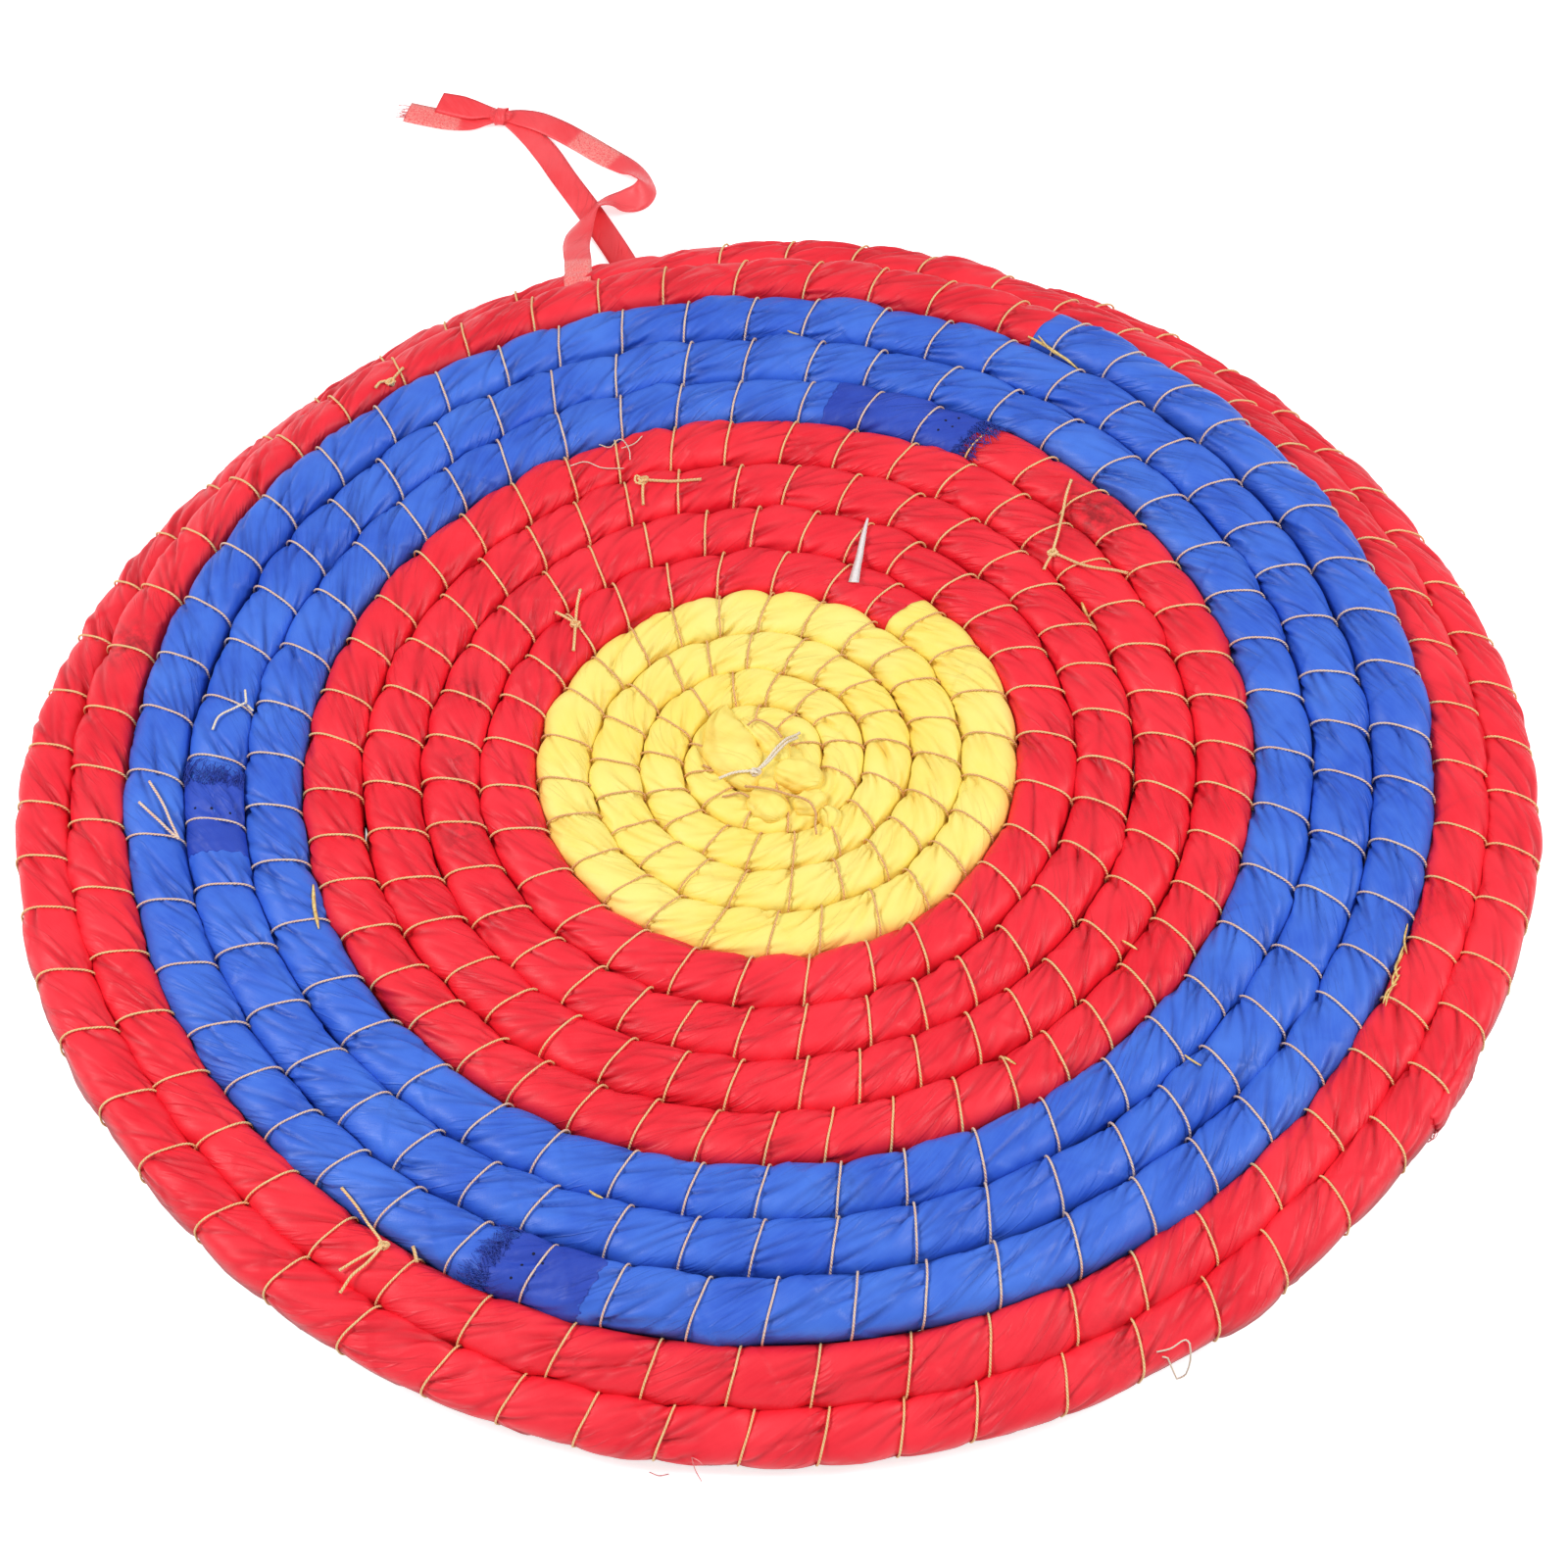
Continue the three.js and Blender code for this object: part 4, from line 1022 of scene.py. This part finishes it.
# Bits of straw and a clear sliver that lie on the cloth.
def strip_along(path, width, thick, roll):
    """A thin closed strip along a path: points and faces."""
    tangent = unit(np.gradient(path, axis=0))
    side = unit(np.cross(tangent, [0, 0, 1.0]))
    up = np.cross(side, tangent)
    side, up = side * math.cos(roll) + up * math.sin(roll), up * math.cos(roll) - side * math.sin(roll)
    corners = ((1, 0), (0, 0.8), (-1, 0), (0, -0.3))
    points = np.stack([path + (side * width[:, None] / 2 * a + up * thick * b) for a, b in corners], 1)
    return points.reshape(-1, 3), ring_faces(len(path), 4)


def strips_piece(name, strips, material, slot, shape=(0.45, 1, 0.9, 0.3)):
    parts = []
    for places, lift, width, thick in strips:
        path = laid(places, lift)
        wide = width * np.interp(np.linspace(0, 1, len(path)), [0, 0.25, 0.8, 1], shape)
        parts.append(strip_along(path, wide, thick, rng.uniform(-0.4, 0.4)))
    return new_piece(name, *joined(parts), material, slot)


strips_piece("straw_bits", (
    (((201.4, -72.1), (199.6, -79.0), (199.9, -84.0)), 0.5, 0.9, 0.5),
    (((198.8, -83.0), (195.5, -90.5), (195.8, -95.0)), 0.5, 1.1, 0.5),
    (((196.4, -93.0), (192.0, -100.5), (190.7, -105.1)), 0.5, 1.0, 0.5),
    (((105.2, 63.9), (107.1, 58.6), (109.5, 53.5)), 0.6, 1.6, 0.5),
    (((-150.5, -47.5), (-149.8, -56.0), (-147.9, -65.1)), 0.4, 1.4, 0.5),
    (((109.5, -76.8), (111.5, -78.3), (114.0, -80.6)), 0.6, 1.1, 0.5),
    (((126.0, -121.4), (127.6, -123.1), (130.8, -125.9)), 0.6, 1.1, 0.5),
    (((93.5, 184.6), (98.0, 181.6), (103.1, 178.2), (110.5, 171.5)), 0.5, 1.9, 0.6),
    (((97.0, 183.6), (100.4, 179.2), (103.7, 177.0)), 1.0, 0.9, 0.4),
    (((8.0, 189.3), (9.6, 188.2), (12.0, 187.1)), 0.6, 0.9, 0.4),
    (((199.5, -80.0), (197.6, -84.5), (196.4, -88.0)), 1.2, 0.8, 0.4),
    (((197.0, -90.0), (194.6, -93.0), (193.6, -98.0)), 1.1, 0.8, 0.4),
    (((195.0, -97.0), (192.2, -99.0), (190.0, -104.0)), 1.3, 0.7, 0.4),
    (((-60.4, -165.0), (-58.9, -166.4), (-56.2, -168.0)), 0.6, 1.1, 0.4),
    (((69.4, -120.9), (71.0, -122.1), (72.9, -123.9)), 0.6, 1.2, 0.4),
), STRAW, "straw")
strips_piece("clear_sliver", (
    (((33.7, 100.3), (30.9, 86.6), (28.0, 71.5)), 1.0, 3.0, 0.5),
), SLIVER, "thread", (0.3, 0.6, 1, 1.25))


# Layers of cloth over the rope: the three joints in the blue strip and the tuck at the rim.
def closed_layer(top, under):
    """Points and faces of a closed layer between two grids."""
    rows, columns = top.shape[:2]
    faces = grid_faces(rows, columns, False)
    count = rows * columns
    faces += [face[::-1] for face in grid_faces(rows, columns, False, count)]
    edge = [(0, c) for c in range(columns)]
    edge += [(r, columns - 1) for r in range(1, rows)]
    edge += [(rows - 1, c) for c in range(columns - 2, -1, -1)]
    edge += [(r, 0) for r in range(rows - 2, 0, -1)]
    for (a, b), (c, d) in zip(edge, edge[1:] + edge[:1]):
        faces.append([a * columns + b, a * columns + b + count, c * columns + d + count, c * columns + d])
    return np.concatenate([top.reshape(-1, 3), under.reshape(-1, 3)]), faces


def patch_piece(name, start, end, first, last, lift, ragged, material, slot, node):
    """A patch over the cloth from start to end along the rope and from first to last degrees round it."""
    around = np.radians(np.arange(first, last + 0.1, 5.0))
    rows = max(6, int((end - start) / 0.7))
    share = np.linspace(0, 1, rows)[:, None]
    begin = start + ragged * (rng.normal(0, 0.4, len(around)) + np.sin(3 * around + start))
    finish = end + 0.3 * ragged * rng.normal(0, 0.5, len(around))
    q = begin + (finish - begin) * share
    around = np.broadcast_to(around[None], q.shape)
    height = np.broadcast_to(np.interp(share, *lift), q.shape)
    sides = smooth((around - around.min()) / 0.25) * smooth((around.max() - around) / 0.25)
    height = height * (0.25 + 0.75 * sides) + 0.12 * np.sin(q * 1.7 + 3 * around) * np.sin(q * 0.6)
    points, faces = closed_layer(on_skin(q, around, height), on_skin(q, around, -0.5))
    arc = around * rope_at(q)[3]
    cloth = np.stack([q, arc, 0 * q], -1).reshape(-1, 3)
    # Painted shade low on the patch's sides, as in the grooves between turns.
    low = groove_shade_at(around)
    marks = np.stack([0.7 * low**1.4, 0 * low, 0 * low], -1).reshape(-1, 3)
    facts = {"cloth": np.concatenate([cloth, cloth]), "marks": np.concatenate([marks, marks])}
    return new_piece(name, points, faces, material, slot, replaces=(node,), facts=facts)


def fibres_piece(name, q, first, last, count, reach, material, slot, thin, lift=0.7):
    """Loose fibres of a frayed edge across the rope: they start at the edge and lie over the cloth before it."""
    paths = []
    for _ in range(count):
        around = math.radians(rng.uniform(first, last))
        far = reach * rng.uniform(0.35, 1.1)
        drift = rng.normal(0.1, 0.28)
        share = np.linspace(0, 1, 7)
        curl = rng.normal(0, 0.12)
        rise = lift + rng.uniform(0, 0.9) * np.sin(math.pi * share)
        at = q + rng.uniform(-0.5, 2.5)
        paths.append(on_skin(at - far * share, around + drift * share + curl * share**2, rise))
    return tubes_piece(name, paths, thin, material, slot, sides=4)


def holes_piece(name, places, material, slot):
    """Dark plugs of painted shade in the holes that a needle left in the cloth."""
    paths = []
    for q, direction in places:
        under, centre = (on_skin(q, math.radians(direction), lift) for lift in (-0.5, 0.62))
        paths.append([under, centre - 0.15 * unit(centre - under), centre])
    return tubes_piece(name, paths, np.array([0.35, 0.5, 0.34]), material, slot, sides=8)


JOINTS = (
    (1, 0.0, -1.0, 54, 1.2, 170, ((8.5, 96), (9.5, 70), (12.0, 112), (12.4, 86))),
    (2, BLUE_JOINTS[0], 7.0, 30, 2.6, 150, ((13.0, 58), (13.2, 88), (13.6, 120))),
    (3, BLUE_JOINTS[1], -8.0, 32, 3.0, 150, ((9.0, 60), (9.6, 84), (10.4, 108), (14.0, 72), (14.8, 98))),
)
for number, joint_turns, joint_shift, patch_length, ragged_edge, fibres, holes in JOINTS:
    joint_q = length_at(BLUE_START + joint_turns) + joint_shift
    patch_piece(
        f"blue_joint_{number}", joint_q, joint_q + patch_length, -10, 190, ([0, 0.06, 0.9, 1], [0.55, 0.5, 0.4, 0.1]),
        ragged_edge, DARK_BLUE, "dark_blue", f"blue_overlap_{number}",
    )
    fibres_piece(f"blue_fibres_{number}", joint_q + 1, 2, 184, fibres, 8.0, BLUE_FIBRE, "dark_blue", 0.12)
    holes_piece(f"needle_hole_shades_{number}", [(joint_q + at, direction) for at, direction in holes], HOLE_SHADE, "dark_blue")


TUCK_Q = length_at(TUCK_TURNS)
patch_piece(
    "rim_tuck_cloth", TUCK_Q - TUCK_LENGTH / 2, TUCK_Q + TUCK_LENGTH / 2, -66, 44,
    ([0, 0.05, 0.3, 0.75, 1], [1.0, 1.6, 1.7, 0.9, 0.1]), 1.6, RED, "red", "rim_tuck",
)
fibres_piece("rim_fibres", TUCK_Q - TUCK_LENGTH / 2, -70, -10, 16, 4.0, RED_FIBRE, "red", 0.14, lift=0.4)


tubes_piece("centre_threads", [
    laid(places, lift) for places, lift in (
        ((
            (-10.3, -13.3), (-6.1, -14.3), (2.4, -17.0), (10.8, -20.9), (12.8, -24.5), (12.5, -27.8), (12.8, -31.8),
        ), 1.5),
        (((-8.9, 11.5), (-6.7, 13.5), (-0.3, 9.9), (2.3, 5.7)), 1.2),
        (((-17.8, -15.0), (-11.4, -14.5), (-9.1, -16.6)), 0.9),
        (((-24.0, -1.5), (-21.4, -2.9)), 0.9),
    )
], 0.42, ORANGE_THREAD, "thread")


# The ribbon.
def band(rows):
    """A closed strip: each row is a centre, the direction across, and a width."""
    centre, side, wide = (np.array(column) for column in zip(*rows))
    side = unit(side)
    normal = unit(np.cross(side, np.gradient(centre, axis=0)))
    place = np.linspace(-0.5, 0.5, BAND_COLUMNS)[None]
    run = run_along(centre)[:, None]
    aside = wide[:, None] * place
    ripple = 0.12 * np.sin(run / 2.9) * np.cos(3 * place) + 0.1 * np.sin(run / 7.1 + 1) * place
    bow = BAND_CAMBER * (1 - (2 * place) ** 2) + ripple
    middle = centre[:, None] + side[:, None] * aside[..., None]
    top = middle + normal[:, None] * (bow + BAND_THICKNESS / 2)[..., None]
    under = middle + normal[:, None] * (bow - BAND_THICKNESS / 2)[..., None]
    points, faces = closed_layer(top, under)
    cloth = np.stack(np.broadcast_arrays(run, aside, 0.0), -1).reshape(-1, 3)
    return points, faces, np.concatenate([cloth, cloth])


def painted_highlight_at(run, highlight_spans):
    """Where the ribbon gets a painted highlight over its weave: 1 inside the given stretches along it."""
    painted_highlight_mask = np.zeros_like(run)
    for low, high in highlight_spans:
        painted_highlight_mask = np.maximum(painted_highlight_mask, smooth((run - low) / 2.5) * smooth((high - run) / 2.5))
    return painted_highlight_mask


def ribbon_rows(stations):
    """Rows of a ribbon through stations of place, width and the angle its outer edge is raised by, in degrees."""
    stations = np.asarray(stations, float)
    span = run_along(stations[:, :3])
    line = curve_through(stations[:, :3], int(span[-1]) + 1)
    at = np.linspace(0, span[-1], len(line))
    wide, roll = (smoothed(np.interp(at, span, stations[:, k]), np.ones(5)) for k in (3, 4))
    roll = np.radians(roll)[:, None]
    tangent = unit(np.gradient(line, axis=0))
    side = unit(np.cross(tangent, [0, 0, 1.0]))
    side = side * np.cos(roll) + np.cross(side, tangent) * np.sin(roll)
    return list(zip(line, side, wide))


def ribbon_piece(name, rows, highlight_spans, body=None, replaces=()):
    points, faces, cloth = band(rows)
    painted_highlight_mask = painted_highlight_at(cloth[:, 0], highlight_spans)
    edge = np.abs(cloth[:, 1]) / np.maximum(np.abs(cloth[:, 1]).max(), 1)
    # The third channel carries the painted highlight, a little stronger towards the edges.
    marks = np.stack([0 * painted_highlight_mask, 0 * painted_highlight_mask, painted_highlight_mask * (0.75 + 0.25 * edge)], -1)
    facts = {"cloth": cloth, "marks": marks}
    return new_piece(name, points, faces, RIBBON, "ribbon", body=body, replaces=replaces, facts=facts)


def wrap_rows():
    rows = []
    for share in np.linspace(0, 1, WRAP_ROWS):
        around = math.radians(lerp(WRAP_FROM, WRAP_TO, share))
        shift = lerp(RIBBON_SHIFT, -RIBBON_SHIFT, smooth((share - 0.3) / 0.7))
        sides = [on_skin(RIBBON_AT + shift + 0.5 * k, around, WRAP_LIFT) for k in (-1, 0, 1)]
        rows.append((sides[1], sides[2] - sides[0], RIBBON_WIDTH))
    return rows


LEFT_STATIONS = (
    (-67.4, 231.2, 22.6, 10, 0), (-67.7, 234.6, 21.9, 10, 0), (-67.9, 240.0, 20.2, 10, 0), (-68.6, 247.4, 17.2, 10, 0),
    (-68.9, 255.2, 13.2, 10, 4), (-68.2, 263, 10.2, 10, 12), (-66.6, 271, 7.8, 10, 34), (-63.2, 279, 6.2, 10, 56),
    (-57.5, 284.0, 4.6, 10, 22), (-50.8, 286, 3.4, 10, -14), (-45.8, 287.8, 3.9, 10, -42), (-43.2, 292.0, 4.4, 10, -52),
    (-45.2, 297.4, 3.8, 10, -38), (-50.1, 303.8, 2.4, 10, -12), (-59.2, 311.3, 1.9, 10, 0), (-68.3, 318.9, 1.9, 10, 0),
    (-77.5, 326.0, 1.9, 10, 0), (-86.0, 330.8, 2.0, 9.6, 0), (-93.2, 332.3, 2.5, 8, 0), (-98.6, 332.2, 3.2, 4.6, 0),
    (-104.0, 331.8, 2.4, 5.6, 0), (-109.0, 331.6, 1.5, 8.4, 0), (-118.2, 333, 1.0, 10, 0), (-127.0, 335.6, 0.9, 10, 0),
    (-135, 338.2, 0.9, 10, 0),
)
RIGHT_STATIONS = (
    (-44.2, 235.5, 2.9, 10, 0), (-45.2, 239.5, 2.2, 10, 0), (-49.0, 249, 1.6, 10, 0), (-52.3, 257.4, 0.9, 10, 0),
    (-63.6, 280.7, 0.8, 10, 0), (-75, 301.9, 0.8, 10, 0), (-82, 315.4, 0.8, 10, 0), (-88.2, 324.4, 0.9, 9, 0),
    (-94.9, 330.0, 2.0, 6, 0), (-98.9, 332.6, 3.4, 4.4, 0), (-103.6, 334.0, 3.9, 5.6, 4), (-108.8, 335.6, 3.5, 8.6, 12),
    (-116.2, 339.0, 2.9, 9.8, 16), (-122.5, 342.0, 2.6, 10, 14),
)
KNOT_PLACE = (-98.8, 332.3)


def slanted_end(rows, slant):
    """Cuts a strip's last end at a slant: the last rows lose width from one side."""
    for k in range(SLANT_ROWS):
        centre, side, wide = rows[-1 - k]
        lost = wide * slant * (1 - k / SLANT_ROWS)
        rows[-1 - k] = (centre - unit(side) * lost / 2, side, max(wide - lost, 0.4))
    return rows


def ribbon_cord(name, stations, highlight_spans, nodes, slant=0.0):
    rows = ribbon_rows(stations)
    if slant:
        rows = slanted_end(rows, slant)
    piece = ribbon_piece(name, rows, highlight_spans, replaces=nodes)
    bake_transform(piece)
    return piece


knot_points, knot_faces, knot_cloth, knot_marks = lump(
    ((-94.6, 332.0), (-97.2, 332.3), (-100.4, 332.5), (-103.4, 332.9)), (4.6, 6.4, 6.4, 4.4), 5.6, 2.7
)
ribbon_knot = new_piece(
    "ribbon_knot_fold", knot_points, knot_faces, RIBBON, "ribbon", body="hanging_loop", replaces=("ribbon_knot",),
    facts={"cloth": knot_cloth, "marks": knot_marks * 0},
)
ring = np.linspace(0, TURN * 0.98, 40)
ring_rows = [
    (
        np.array([KNOT_PLACE[0] + 0.9 * math.cos(t), KNOT_PLACE[1] + 3.7 * math.cos(t), 3.2 + 2.75 * math.sin(t)]),
        np.array([1.0, -0.22, 0.16 * math.sin(2 * t)]),
        3.8 + 0.5 * math.sin(3 * t),
    )
    for t in ring
]
ribbon_piece("ribbon_knot_band", ring_rows, (), body="hanging_loop")
# The stretches given along each ribbon piece get a painted highlight.
ribbon_cord(
    "ribbon_left", LEFT_STATIONS, ((-5, 11), (97, 119), (164, 203)), ("ribbon_left_leg", "ribbon_long_tail"),
)
ribbon_cord(
    "ribbon_right", RIGHT_STATIONS, (), ("ribbon_right_leg", "ribbon_short_tail"),
    slant=0.12,
)
ribbon_piece("ribbon_wrap_band", wrap_rows(), ((-5, 21),), body="coiled_boss", replaces=("ribbon_wrap",))
frays = []
for _ in range(22):
    place = rng.uniform(-4.6, 4.6)
    tip = np.array([-135.0 - rng.uniform(0.8, 4.5), 338.2 + place + rng.normal(0, 0.8), 0.7 + rng.uniform(0, 1.2)])
    frays.append(curve_through([(-134.0, 337.9 + place, 1.0), (-135.2, 338.3 + place, 1.1), tip], 6))
tubes_piece("ribbon_frays", frays, 0.11, RED_FIBRE, "ribbon", sides=4, body="hanging_loop")


# Camera, light and floor.
FLOOR_GLOW = 0.62
FOCAL_PX, PHOTO_PX, SENSOR = 4428.2, 1600.0, 36.0
TARGET = Vector((0.002635, -0.003303, 0.025))
DISTANCE, ELEVATION, ROLL = 1.43985, math.radians(53.667), math.radians(-1.449)
WORLD_LIGHT, LAMP_SIZE = 0.54, 0.5
FLOOR_SIDE, FLOOR_DROP = 4.0, 0.0002
SIDE_LIGHTS = (("left_light", (-1.0, -0.15, 1.05), 8.8), ("right_light", (1.0, -0.25, 1.05), 8.2))


def place_camera():
    back = Vector((0, -math.cos(ELEVATION), math.sin(ELEVATION)))
    right = Vector((1, 0, 0))
    up = right.cross(-back)
    rolled = math.cos(ROLL) * right + math.sin(ROLL) * up
    raised = -math.sin(ROLL) * right + math.cos(ROLL) * up
    data = bpy.data.cameras.new("camera")
    data.sensor_width = SENSOR
    data.lens = SENSOR * FOCAL_PX / PHOTO_PX
    data.clip_start, data.clip_end = 0.05, 20
    camera = added("camera", data)
    turned = Matrix((rolled, raised, back)).transposed().to_4x4()
    camera.matrix_world = Matrix.Translation(TARGET + back * DISTANCE) @ turned
    bpy.context.scene.camera = camera


def place_lights():
    world = bpy.data.worlds.new("world")
    world.use_nodes = True
    background = world.node_tree.nodes["Background"]
    background.inputs["Color"].default_value = (1, 1, 1, 1)
    background.inputs["Strength"].default_value = WORLD_LIGHT
    bpy.context.scene.world = world
    for name, place, power in SIDE_LIGHTS:
        light = bpy.data.lights.new(name, "AREA")
        light.size = LAMP_SIZE
        light.energy = power
        lamp = added(name, light)
        lamp.location = place
        lamp.rotation_mode = "QUATERNION"
        lamp.rotation_quaternion = (-Vector(place)).to_track_quat("-Z", "Y")


def place_floor():
    material, tree, shader = new_material("floor")
    shader.inputs["Roughness"].default_value = 0.9
    grain = noise(tree, object_place(tree), 3.0, 2.0, 0.5)
    colour = mix_colour(tree, grain, (0.93, 0.93, 0.93), (0.95, 0.95, 0.95))
    tree.links.new(colour, shader.inputs["Base Color"])
    path = tree.nodes.new("ShaderNodeLightPath")
    seen = math_node(tree, "ADD", path.outputs["Is Camera Ray"], path.outputs["Is Glossy Ray"], clamp=True)
    shader.inputs["Emission Color"].default_value = (1, 1, 1, 1)
    tree.links.new(math_node(tree, "MULTIPLY", seen, FLOOR_GLOW), shader.inputs["Emission Strength"])
    mesh = bpy.data.meshes.new("floor")
    corners = [(x * FLOOR_SIDE, y * FLOOR_SIDE, -FLOOR_DROP) for x, y in ((-1, -1), (1, -1), (1, 1), (-1, 1))]
    mesh.from_pydata(corners, [], [(0, 1, 2, 3)])
    mesh.materials.append(material)
    added("floor", mesh)


place_camera()
place_lights()
place_floor()
bpy.context.scene.view_settings.view_transform = "Standard"
